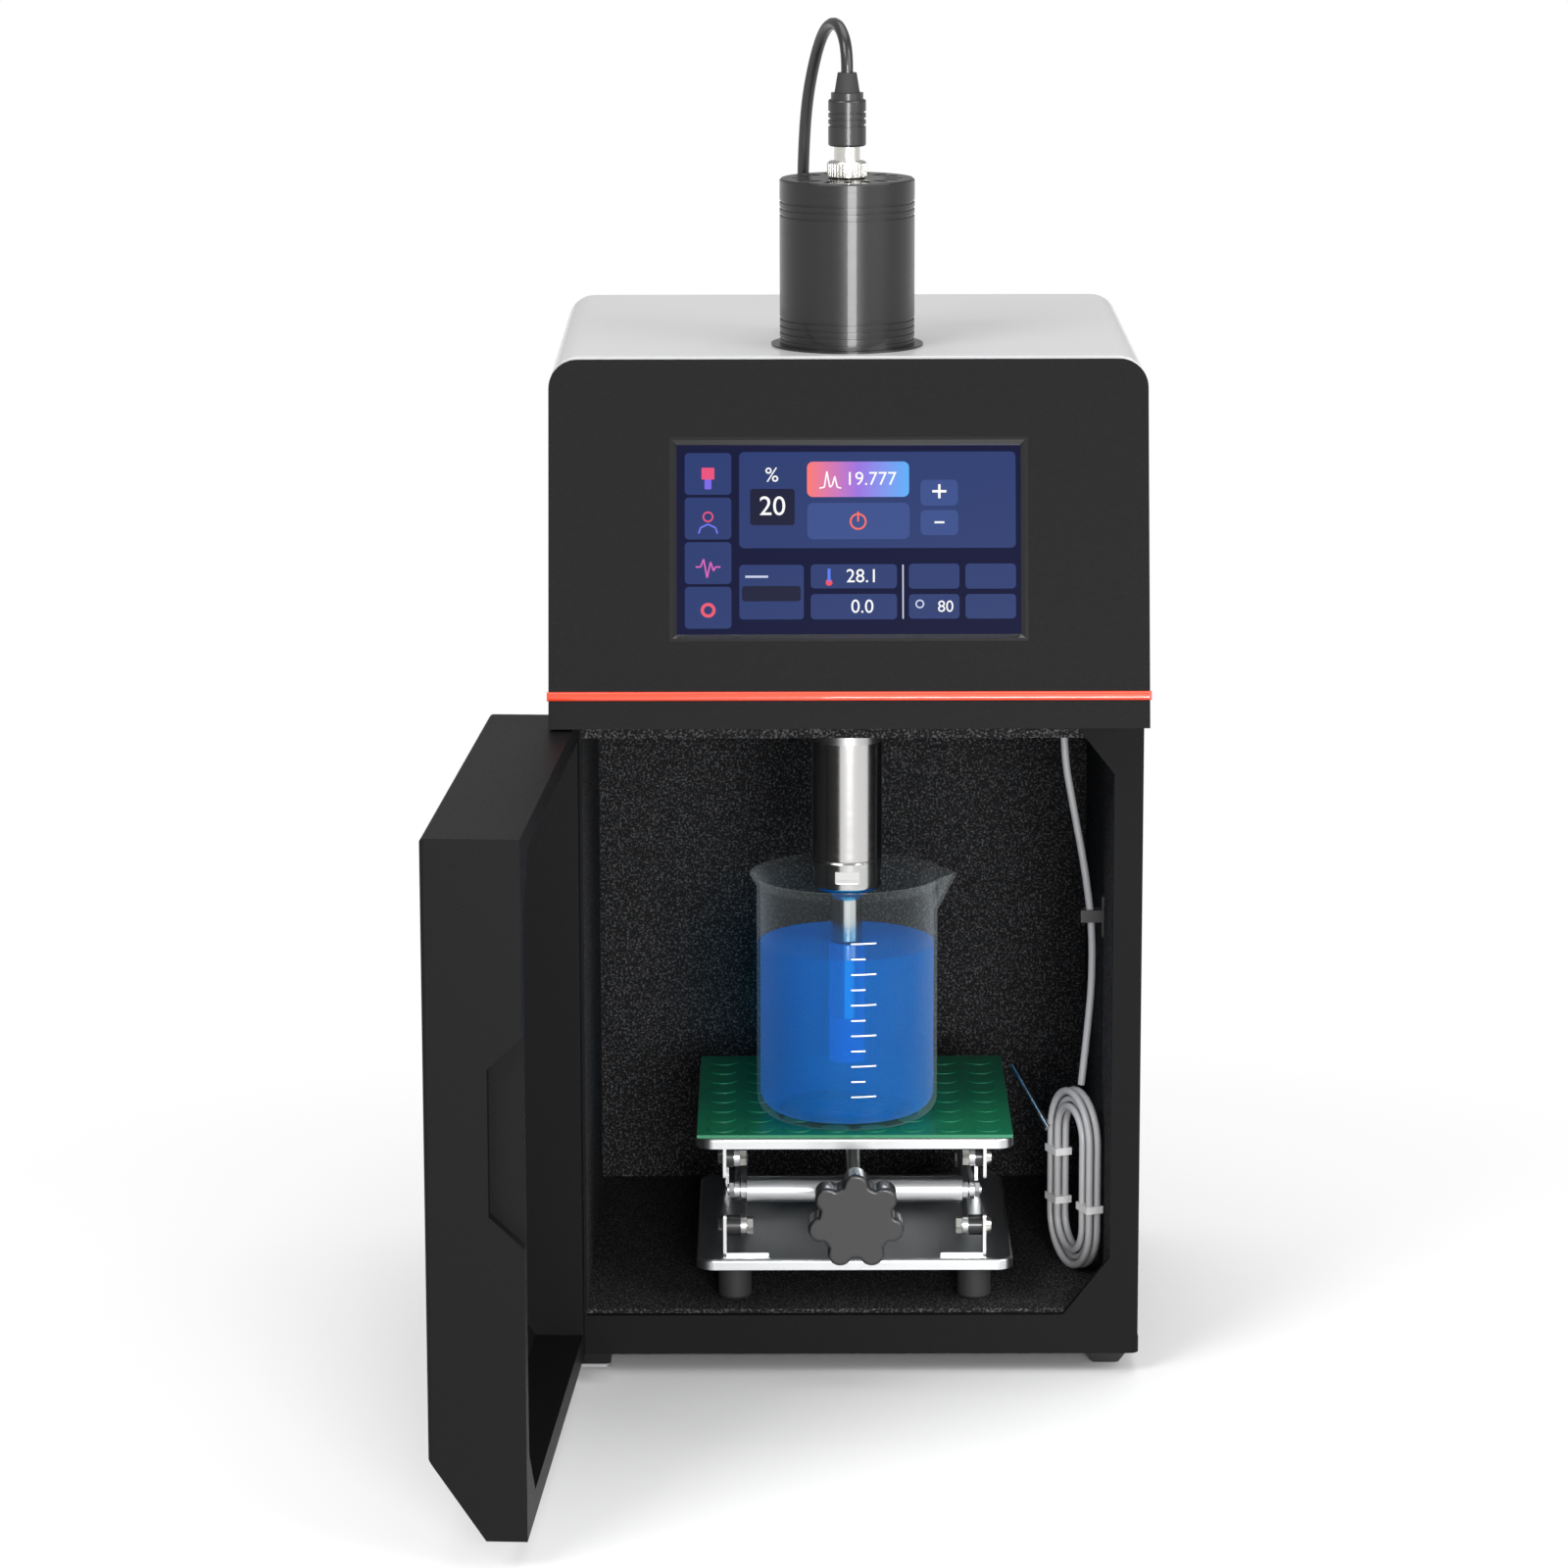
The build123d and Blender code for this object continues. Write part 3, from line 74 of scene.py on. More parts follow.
class Texture(Enum):
    """What varies over a finish's surface."""

    PLAIN = "plain"
    GRAIN = "grain"
    FELT = "felt"
    BRUSHED = "brushed"


@dataclass(frozen=True)
class Finish:
    """One finish: its colour in linear light, its sheen, and what varies over it."""

    colour: tuple[float, float, float]
    rough: float = 0.5
    metal: float = 0.0
    texture: Texture = Texture.PLAIN
    grain_mm: float = 0.6
    bump: float = 0.15
    coat: float = 0.0
    glow: float = 0.0
    clear: float = 0.0
    tint: tuple[float, float, float] = (1.0, 1.0, 1.0)
    shine: float = 0.5


FINISHES: dict[str, Finish] = {
    "rubber": Finish((0.02, 0.02, 0.021), 0.7, texture=Texture.GRAIN, bump=0.05),
    "cabinet_black": Finish((0.005, 0.005, 0.0055), 0.6, texture=Texture.GRAIN, grain_mm=0.7,
                            bump=0.3, shine=0.1),
    "felt": Finish((0.012, 0.012, 0.0125), 0.95, texture=Texture.FELT, grain_mm=1.1,
                   bump=0.8, shine=0.1),
    "door_black": Finish((0.005, 0.005, 0.0055), 0.5, texture=Texture.GRAIN, grain_mm=0.6,
                         bump=0.3, shine=0.12),
    "steel_dark": Finish((0.3, 0.3, 0.31), 0.4, 1.0, Texture.BRUSHED),
    "panel_black": Finish((0.004, 0.004, 0.0045), 0.6, texture=Texture.GRAIN, grain_mm=1.0,
                          bump=1.0, shine=0.14),
    "accent_red": Finish((0.75, 0.055, 0.022), 0.18, coat=0.8),
    "bezel_black": Finish((0.006, 0.006, 0.007), 0.12, coat=0.5),
    "display": Finish((0.009, 0.011, 0.045), 0.15, glow=1.0, shine=0.1),
    "cover_white": Finish((0.62, 0.62, 0.625), 0.3, coat=0.3),
    "inner_block": Finish((0.05, 0.05, 0.05), 0.8),
    "anodised_black": Finish((0.012, 0.012, 0.013), 0.34, 0.3, Texture.BRUSHED, coat=0.2),
    "titanium": Finish((0.62, 0.61, 0.6), 0.2, 1.0, Texture.BRUSHED),
    "collar_steel": Finish((0.55, 0.55, 0.55), 0.3, 1.0, Texture.BRUSHED),
    "ceramic": Finish((0.7, 0.68, 0.6), 0.5),
    "plug_black": Finish((0.012, 0.012, 0.013), 0.38, coat=0.2),
    "cable_black": Finish((0.01, 0.01, 0.011), 0.35, coat=0.3),
    "lead_grey": Finish((0.4, 0.4, 0.41), 0.4, coat=0.2),
    "probe_steel": Finish((0.6, 0.6, 0.6), 0.2, 1.0),
    "clip_black": Finish((0.015, 0.015, 0.016), 0.4),
    "stainless": Finish((0.6, 0.61, 0.62), 0.3, 1.0, Texture.BRUSHED),
    "zinc": Finish((0.68, 0.67, 0.63), 0.25, 1.0),
    "spacer_black": Finish((0.012, 0.012, 0.013), 0.35, coat=0.3),
    "mat_green": Finish((0.008, 0.19, 0.085), 0.4, coat=0.2),
    "glass": Finish((0.9, 0.95, 0.96), 0.03, clear=0.992, tint=(0.97, 0.985, 0.985)),
    # The sample's glow is painted light: the liquid is no lamp, yet it emits its own blue at strength
    # 0.3.
    "sample_blue": Finish((0.0, 0.25, 0.88), 0.08, glow=0.3, clear=0.82,
                          tint=(0.25, 0.78, 1.0), shine=0.1),
    "tie_white": Finish((0.75, 0.75, 0.75), 0.5),
    "print_white": Finish((0.85, 0.85, 0.85), 0.6),
}


class Value:
    """A shader value that takes arithmetic, plain or reflected, with numbers and other values."""

    def __init__(self, graph: "Graph", socket: bpy.types.NodeSocket) -> None:
        """Wrap one output socket of a graph."""
        self.graph = graph
        self.socket = socket

    def _do(self, operation: str, left: object, right: object) -> "Value":
        """Add the Math node of an operation, and return its result."""
        return self.graph.node("ShaderNodeMath", {0: left, 1: right}, operation=operation)

    def __add__(self, other: object) -> "Value":
        """Return self + other."""
        return self._do("ADD", self, other)

    def __radd__(self, other: object) -> "Value":
        """Return other + self."""
        return self._do("ADD", other, self)

    def __sub__(self, other: object) -> "Value":
        """Return self - other."""
        return self._do("SUBTRACT", self, other)

    def __rsub__(self, other: object) -> "Value":
        """Return other - self."""
        return self._do("SUBTRACT", other, self)

    def __mul__(self, other: object) -> "Value":
        """Return self * other."""
        return self._do("MULTIPLY", self, other)

    def __rmul__(self, other: object) -> "Value":
        """Return other * self."""
        return self._do("MULTIPLY", other, self)

    def __truediv__(self, other: object) -> "Value":
        """Return self / other."""
        return self._do("DIVIDE", self, other)

    def __rtruediv__(self, other: object) -> "Value":
        """Return other / self."""
        return self._do("DIVIDE", other, self)

    def __pow__(self, other: object) -> "Value":
        """Return self ** other."""
        return self._do("POWER", self, other)

    def __rpow__(self, other: object) -> "Value":
        """Return other ** self."""
        return self._do("POWER", other, self)


class Graph:
    """A node tree, written through one method that makes any node."""

    def __init__(self, tree: bpy.types.NodeTree) -> None:
        """Take a node tree, and clear it."""
        self.tree = tree
        tree.nodes.clear()

    def node(self, kind: str, inputs: dict | None = None, output: int | str = 0,
             **settings: object) -> Value:
        """Make one node.

        Args:
            kind: The node's type name.
            inputs: Socket name or number to a value or a constant.
            output: The output socket to return.
            **settings: The node's own properties.

        Returns:
            The chosen output.
        """
        made = self.tree.nodes.new(kind)
        for key, value in settings.items():
            setattr(made, key, value)
        for key, value in (inputs or {}).items():
            if isinstance(value, Value):
                self.tree.links.new(value.socket, made.inputs[key])
            else:
                made.inputs[key].default_value = value
        return Value(self, made.outputs[output]) if made.outputs else Value(self, None)


def noise(graph: Graph, size_mm: float, stretch: tuple[float, float, float] = (1, 1, 1)) -> Value:
    """Make noise over object coordinates.

    Args:
        graph: The material's graph.
        size_mm: About the size of a grain.
        stretch: The scale along each axis, below 1 for long streaks.

    Returns:
        The noise, about 0.5 on average.
    """
    place = graph.node("ShaderNodeTexCoord", output="Object")
    scaled = graph.node("ShaderNodeMapping", {"Vector": place, "Scale": stretch})
    return graph.node("ShaderNodeTexNoise", {"Vector": scaled, "Scale": 1 / (size_mm * MM),
                                             "Detail": NOISE_DETAIL})


def mix_colour(graph: Graph, factor: Value, low: tuple | Value, high: tuple) -> Value:
    """Mix two colours.

    Args:
        graph: The material's graph.
        factor: 0 for the low colour and 1 for the high one.
        low: The first colour, or a value that holds one.
        high: The second colour.

    Returns:
        The mixed colour.
    """
    first = low if isinstance(low, Value) else (*low, 1)
    return graph.node("ShaderNodeMixRGB", {"Fac": factor, "Color1": first, "Color2": (*high, 1)})


def build_material(name: str, finish: Finish) -> bpy.types.Material:
    """Make a finish's material.

    Args:
        name: The slot's name.
        finish: Its values.

    Returns:
        The material.
    """
    material = bpy.data.materials.new(name)
    material.use_nodes = True
    graph = Graph(material.node_tree)
    sockets: dict = {
        "Base Color": (*finish.colour, 1),
        "Roughness": finish.rough,
        "Metallic": finish.metal,
        "Coat Weight": finish.coat,
        "Emission Color": (*finish.colour, 1),
        "Emission Strength": finish.glow,
        "Specular IOR Level": finish.shine,
    }
    if finish.glow >= FULL_GLOW:
        sockets["Base Color"] = (0, 0, 0, 1)
    if finish.texture is Texture.GRAIN:
        grain = noise(graph, finish.grain_mm)
        sockets["Normal"] = graph.node("ShaderNodeBump", {"Height": grain, "Strength": finish.bump,
                                                          "Distance": GRAIN_DEPTH * MM})
        sockets["Roughness"] = finish.rough + GRAIN_SHEEN * (grain - 0.5)
    if finish.texture is Texture.FELT:
        fibre = noise(graph, finish.grain_mm)
        fleck = graph.node("ShaderNodeMapRange", {"Value": fibre, "From Min": FLECK_FROM,
                                                  "From Max": FLECK_TO})
        grey = tuple(c * FLECK_GAIN for c in finish.colour)
        sockets["Base Color"] = mix_colour(graph, fleck, finish.colour, grey)
        sockets["Normal"] = graph.node("ShaderNodeBump", {"Height": fibre, "Strength": finish.bump,
                                                          "Distance": FELT_DEPTH * MM})
    if finish.texture is Texture.BRUSHED:
        streak = noise(graph, STREAK_MM, STREAK_STRETCH)
        sockets["Roughness"] = finish.rough + STREAK_SHEEN * (streak - 0.5)
    shader = graph.node("ShaderNodeBsdfPrincipled", sockets)
    if finish.clear:
        through = graph.node("ShaderNodeBsdfTransparent", {"Color": (*finish.tint, 1)})
        facing = graph.node("ShaderNodeLayerWeight", {"Blend": RIM_BLEND}, "Facing")
        # Painted rim highlight: towards grazing angles the opaque surface replaces the see-through one.
        # That surface is near white for the glass.
        seen = (1 - finish.clear) + PAINTED_RIM_HIGHLIGHT * facing ** RIM_POWER
        shader = graph.node("ShaderNodeMixShader", {0: seen, 1: through, 2: shader})
    graph.node("ShaderNodeOutputMaterial", {"Surface": shader})
    return material


class Materials:
    """The finished materials, made when first asked for."""

    def __init__(self) -> None:
        """Start with no material made."""
        self.made: dict[str, bpy.types.Material] = {}

    def get(self, name: str, finish: Finish | None = None) -> bpy.types.Material:
        """Look a material up, and make it the first time.

        Args:
            name: The material's name.
            finish: Its finish, or none for the one that FINISHES has under that name.

        Returns:
            The material.
        """
        if name not in self.made:
            self.made[name] = build_material(name, finish or FINISHES[name])
        return self.made[name]

    def sweep(self) -> bpy.types.Material:
        """Look the display's swept finish up, and make it the first time.

        Returns:
            The material.
        """
        if "sweep" not in self.made:
            self.made["sweep"] = sweep_material()
        return self.made["sweep"]


def sweep_material() -> bpy.types.Material:
    """Make the glowing finish that runs from coral over violet to blue along X.

    Returns:
        The material.
    """
    material = bpy.data.materials.new("pixel_sweep")
    material.use_nodes = True
    graph = Graph(material.node_tree)
    place = graph.node("ShaderNodeTexCoord", output="Object")
    across = graph.node("ShaderNodeSeparateXYZ", {0: place})
    left, top, right, _ = SWEEP_BOX
    start, end = (on_screen(px, top, 0).x * MM for px in (left, right))
    along = (across - start) / (end - start)
    warm = mix_colour(graph, 2 * along, linear("f4655a"), linear("8a5bd6"))
    second_half = mix_colour(graph, 2 * along - 1, (0, 0, 0), (1, 1, 1))
    swept = mix_colour(graph, second_half, warm, linear("35a0f0"))
    shader = graph.node("ShaderNodeBsdfPrincipled", {
        "Base Color": (0, 0, 0, 1), "Emission Color": swept,
        "Emission Strength": FULL_GLOW, "Roughness": 0.3})
    graph.node("ShaderNodeOutputMaterial", {"Surface": shader})
    return material


def plain_mesh(name: str, points: list[Vector], faces: list[tuple], material: bpy.types.Material,
               smooth: bool = False) -> bpy.types.Object:
    """Make a mesh object at the origin.

    Args:
        name: The object's name.
        points: Its vertices in the row frame, in millimetres.
        faces: Its faces, as vertex numbers.
        material: What it is made of.
        smooth: Whether its faces are shaded smooth.

    Returns:
        The new object.
    """
    mesh = bpy.data.meshes.new(name)
    mesh.from_pydata([p * MM for p in points], [], faces)
    mesh.materials.append(material)
    mesh.polygons.foreach_set("use_smooth", [smooth] * len(mesh.polygons))
    made = bpy.data.objects.new(name, mesh)
    bpy.context.collection.objects.link(made)
    return made


class Layout(Enum):
    """How a repeated piece is spread."""

    GRID = "GeometryNodeMeshGrid"
    RING = "GeometryNodeMeshCircle"


@dataclass
class Repeated:
    """Small studs or ribs that Geometry Nodes repeat over a grid or round a ring, in millimetres."""

    name: str
    layout: Layout
    count: int
    span: float
    radius: float
    height: float
    place: tuple[float, float, float]

    def build(self, material: bpy.types.Material) -> bpy.types.Object:
        """Make the repeated piece as a plain mesh.

        Args:
            material: What it is made of.

        Returns:
            The finished object.
        """
        tree = bpy.data.node_groups.new(self.name, "GeometryNodeTree")
        graph = Graph(tree)
        tree.interface.new_socket("Geometry", in_out="OUTPUT", socket_type="NodeSocketGeometry")
        wanted = {
            "Count": ("NodeSocketInt", self.count),
            "Span": ("NodeSocketFloat", self.span * MM),
            "Radius": ("NodeSocketFloat", self.radius * MM),
            "Height": ("NodeSocketFloat", self.height * MM),
            "Place": ("NodeSocketVector", [v * MM for v in self.place]),
            "Material": ("NodeSocketMaterial", material),
        }
        ids = {key: tree.interface.new_socket(key, in_out="INPUT", socket_type=kind).identifier
               for key, (kind, _) in wanted.items()}
        group = tree.nodes.new("NodeGroupInput")
        given = {key: Value(graph, group.outputs[key]) for key in wanted}
        if self.layout is Layout.GRID:
            spread = {"Size X": given["Span"], "Size Y": given["Span"],
                      "Vertices X": given["Count"], "Vertices Y": given["Count"]}
        else:
            spread = {"Vertices": given["Count"], "Radius": given["Span"]}
        points = graph.node(self.layout.value, spread)
        unit = graph.node("GeometryNodeMeshCylinder", {"Vertices": UNIT_SIDES,
                                                       "Radius": given["Radius"],
                                                       "Depth": given["Height"]})
        many = graph.node("GeometryNodeInstanceOnPoints", {"Points": points, "Instance": unit})
        real = graph.node("GeometryNodeRealizeInstances", {"Geometry": many})
        moved = graph.node("GeometryNodeTransform", {"Geometry": real, "Translation": given["Place"]})
        done = graph.node("GeometryNodeSetMaterial", {"Geometry": moved, "Material": given["Material"]})
        graph.node("NodeGroupOutput", {"Geometry": done})
        made = plain_mesh(self.name, [], [], material)
        modifier = made.modifiers.new("repeat", "NODES")
        modifier.node_group = tree
        for key, (_, value) in wanted.items():
            modifier[ids[key]] = value
        settled = made.evaluated_get(bpy.context.evaluated_depsgraph_get())
        mesh = bpy.data.meshes.new_from_object(settled)
        made.modifiers.clear()
        made.data = mesh
        return made


def on_screen(px: float, py: float, lift: float) -> Vector:
    """Place a point over the display.

    Args:
        px: Its measured column in the photo.
        py: Its measured row in the photo.
        lift: Its height over the head's sloping face, in millimetres.

    Returns:
        The point in the row frame, in millimetres.
    """
    left, top, right, bottom = DISPLAY_PIXELS
    x = DISPLAY_WIDE * ((px - left) / (right - left) - 0.5)
    up = DISPLAY_TOP - (py - top) * DISPLAY_TALL / (bottom - top)
    return FACE_ORIGIN + Vector((x, 0, 0)) + up * FACE_UP + lift * FACE_OUT


def linear(code: str) -> tuple[float, float, float]:
    """Turn a screen colour into a linear one.

    Args:
        code: The screen colour as six hex digits.

    Returns:
        Red, green and blue from 0 to 1.
    """
    return tuple((int(code[i:i + 2], 16) / 255) ** SCREEN_GAMMA for i in (0, 2, 4))


@dataclass
class Tile:
    """A rounded tile on the display, by its measured pixel box and colour."""

    box: tuple[float, float, float, float]
    colour: str
    corner: float = 3.0
    lift: float = TILE_LIFT


@dataclass
class Label:
    """A number or sign on the display: its text, pixel centre, height and colour."""

    text: str
    centre: tuple[float, float]
    size: float
    colour: str = "ffffff"


@dataclass
class Screen:
    """The display's picture: plain tiles, generic signs and numbers, flat over the glass."""

    tiles: list[Tile] = field(default_factory=lambda: [
        Tile((755, 458, 1034, 556), "2b3c70", 5),
        Tile((766, 495.6, 811, 532.6), "171a38", 3, UPPER_LIFT),
        Tile(SWEEP_BOX, "sweep", 6, UPPER_LIFT),
        Tile((823.7, 510, 927, 547), "3b4f8a", 6, UPPER_LIFT),
        Tile((938, 486.7, 975.6, 513), "3b4f8a", 5, UPPER_LIFT),
        Tile((938, 517.5, 976, 543), "3b4f8a", 5, UPPER_LIFT),
        Tile((755, 573, 820, 628.5), "2b3c70", 4),
        Tile((757.7, 594.5, 817, 610), "171a38", 3, UPPER_LIFT),
        Tile((827, 572.5, 914, 597), "2b3c70", 4),
        Tile((827, 602.7, 914, 628.5), "2b3c70", 4),
        Tile((919.4, 573, 920.8, 628), "c8d0ea", 0.4),
        Tile((926, 572, 977, 597.5), "2b3c70", 4),
        Tile((926, 603, 977, 628), "2b3c70", 4),
        Tile((983, 572, 1034, 597.5), "2b3c70", 4),
        Tile((983, 603, 1034, 628), "2b3c70", 4)])
    labels: list[Label] = field(default_factory=lambda: [
        Label("%", (788, 482), 15), Label("20", (788.5, 514), 20), Label("19.777", (888, 486), 14),
        Label("+", (957, 500), 22), Label("28.1", (879, 585), 14),
        Label("0.0", (879, 616), 14), Label("80", (963, 616), 12)])
    keys: int = 4
    key_box: tuple[float, float, float, float] = (700, 459, 747, 501.5)
    key_pitch: float = 45.4

    def build(self, materials: Materials) -> None:
        """Make every tile, sign and number.

        Args:
            materials: Where their finishes come from.
        """
        left, top, right, bottom = self.key_box
        drops = [row * self.key_pitch for row in range(self.keys)]
        tiles = [
            *self.tiles,
            *(Tile((left, top + drop, right, bottom + drop), "2b3c70", 4) for drop in drops),
            Tile((717, 474, 730, 486), "e8527c", 1, SIGN_LIFT),
            Tile((720, 486, 727, 496), "7a68e8", 1, SIGN_LIFT),
        ]
        for name, centre, radius, wide, colour in (
            ("head", (723.5, 524), 5.5, 1.6, "e8527c"), ("gear", (723.5, 619), 7.5, 3.2, "ee5a6f"),
            ("power", (875, 529), 8.5, 1.8, "ff6f61"), ("bulb", (845.5, 591), 3.4, 3.3, "ee4f5f"),
            ("swirl", (937, 613), 4.5, 1.5, "c8d0ea"),
        ):
            self._ring(centre, radius, wide, colour, materials, f"screen_{name}")
        for name, points, wide, colour in (
            ("shoulders", [(714, 541), (716, 535), (723.5, 531.5), (731, 535), (733, 541)],
             1.6, "6f7af0"),
            ("pulse", [(711, 575), (716, 575), (719, 567), (722.5, 586), (726, 570), (729, 579),
                       (731, 575), (736, 575)], 1.6, "d764b8"),
            ("stem", [(875, 519), (875, 529)], 1.8, "ff6f61"),
            ("mercury", [(845.5, 577), (845.5, 590)], 3.0, "5a7cf0"),
            ("peaks", [(836, 495), (841, 494), (843.5, 478), (846.5, 494), (849, 492),
                       (851.5, 483), (854, 494), (858, 495)], 1.5, "ffffff"),
            ("reading_bar", [(761, 585), (784, 585)], 2.2, "c8d0ea"),
            ("minus", [(952, 530), (962, 530)], 2.0, "ffffff"),
        ):
            self._stroke(points, wide, colour, materials, f"screen_{name}")
        for i, tile in enumerate(tiles):
            self._tile(f"screen_tile_{i:02d}", tile, materials)
        for i, label in enumerate(self.labels):
            self._label(f"screen_label_{i}", label, materials)

    def _glow(self, colour: str, materials: Materials) -> bpy.types.Material:
        """Look the glowing material of a screen colour up.

        Args:
            colour: Six hex digits, or "sweep" for the swept finish.
            materials: Where the material is kept.

        Returns:
            The material.
        """
        if colour == "sweep":
            return materials.sweep()
        return materials.get(f"pixel_{colour}", Finish(linear(colour), 0.3, glow=FULL_GLOW, shine=0.1))

    def _keep(self, made: bpy.types.Object) -> None:
        """Give a piece of the picture its body, and log it.

        Args:
            made: The piece.
        """
        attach(made, "cabinet")
        log.info("screen piece %s", made.name)

    def _tile(self, name: str, tile: Tile, materials: Materials) -> None:
        """Make one tile as a flat face with rounded corners.

        Args:
            name: The piece's name.
            tile: Its box, corner, height and colour.
            materials: Where its finish comes from.
        """
        x0, y0, x1, y1 = tile.box
        corner = tile.corner
        points = []
        for cx, cy, turn in ((x1, y0, -90), (x1, y1, 0), (x0, y1, 90), (x0, y0, 180)):
            inner_x = cx - corner if cx == x1 else cx + corner
            inner_y = cy - corner if cy == y1 else cy + corner
            for step in range(CORNER_STEPS + 1):
                angle = radians(turn + 90 / CORNER_STEPS * step)
                points.append(on_screen(inner_x + corner * cos(angle), inner_y + corner * sin(angle),
                                        tile.lift))
        outline = tuple(reversed(range(len(points))))
        self._keep(plain_mesh(name, points, [outline], self._glow(tile.colour, materials)))

    def _ring(self, centre: tuple, radius: float, wide: float, colour: str,
              materials: Materials, name: str) -> None:
        """Make one flat ring.

        Args:
            centre: Its middle, in pixels.
            radius: Its outer radius, in pixels.
            wide: The width of its line, in pixels.
            colour: Its screen colour.
            materials: Where its finish comes from.
            name: The piece's name.
        """
        points, faces = [], []
        for step in range(RING_STEPS):
            angle = 2 * pi * step / RING_STEPS
            for r in (radius, radius - wide):
                points.append(on_screen(centre[0] + r * cos(angle), centre[1] + r * sin(angle),
                                        SIGN_LIFT))
            here, ahead = 2 * step, 2 * ((step + 1) % RING_STEPS)
            faces.append((here, here + 1, ahead + 1, ahead))
        self._keep(plain_mesh(name, points, faces, self._glow(colour, materials)))

    def _stroke(self, line: list[tuple], wide: float, colour: str,
                materials: Materials, name: str) -> None:
        """Make one flat line of straight strokes.

        Args:
            line: Its points, in pixels.
            wide: Its width, in pixels.
            colour: Its screen colour.
            materials: Where its finish comes from.
            name: The piece's name.
        """
        points, faces = [], []
        for (x0, y0), (x1, y1) in zip(line, line[1:]):
            long = sqrt((x1 - x0) ** 2 + (y1 - y0) ** 2)
            side = ((y0 - y1) / long * wide / 2, (x1 - x0) / long * wide / 2)
            first = len(points)
            for x, y in ((x0, y0), (x1, y1)):
                points += [on_screen(x + side[0], y + side[1], STROKE_LIFT),
                           on_screen(x - side[0], y - side[1], STROKE_LIFT)]
            faces.append((first, first + 2, first + 3, first + 1))
        self._keep(plain_mesh(name, points, faces, self._glow(colour, materials)))

    def _label(self, name: str, label: Label, materials: Materials) -> None:
        """Make one number or sign as a flat mesh.

        Args:
            name: The piece's name.
            label: Its text, place, height and colour.
            materials: Where its finish comes from.
        """
        words = bpy.data.curves.new(name, "FONT")
        words.body = label.text
        words.size = label.size * LETTER_SCALE * MM
        words.align_x, words.align_y = "CENTER", "CENTER"
        shape = bpy.data.objects.new(name + "_shape", words)
        bpy.context.collection.objects.link(shape)
        settled = shape.evaluated_get(bpy.context.evaluated_depsgraph_get())
        mesh = bpy.data.meshes.new_from_object(settled)
        bpy.data.objects.remove(shape)
        place = on_screen(*label.centre, LABEL_LIFT) * MM
        turn = Matrix((Vector((1, 0, 0)), FACE_UP, FACE_OUT)).transposed().to_4x4()
        mesh.transform(Matrix.Translation(place) @ turn)
        mesh.materials.clear()
        mesh.materials.append(self._glow(label.colour, materials))
        made = bpy.data.objects.new(name, mesh)
        bpy.context.collection.objects.link(made)
        self._keep(made)


@dataclass
class Cord:
    """A free lead, drawn along the route that its CAD tube follows, in millimetres."""

    name: str
    node: str
    slot: str
    radius: float
    route: list[tuple[float, float, float]]
    length: float
    with_pieces: list = field(default_factory=list)

    def build(self, materials: Materials) -> bpy.types.Object:
        """Args:
            materials: Where its finish comes from.

        Returns:
            The finished curve.
        """
        curve = bpy.data.curves.new(self.name, "CURVE")
        curve.dimensions = "3D"
        curve.bevel_depth = self.radius * MM
        curve.bevel_resolution = CORD_ROUNDING
        curve.resolution_u = CORD_STEPS
        curve.use_fill_caps = True
        spline = curve.splines.new("NURBS")
        spline.points.add(len(self.route) - 1)
        for point, place in zip(spline.points, self.route):
            point.co = (*(v * MM for v in place), 1)
        spline.order_u = 3
        spline.use_endpoint_u = True
        curve.materials.append(materials.get(self.slot))
        made = bpy.data.objects.new(self.name, curve)
        bpy.context.collection.objects.link(made)
        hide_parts(self.node)
        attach(made, "cabinet")
        log.info("cord %s", self.name)
        return made


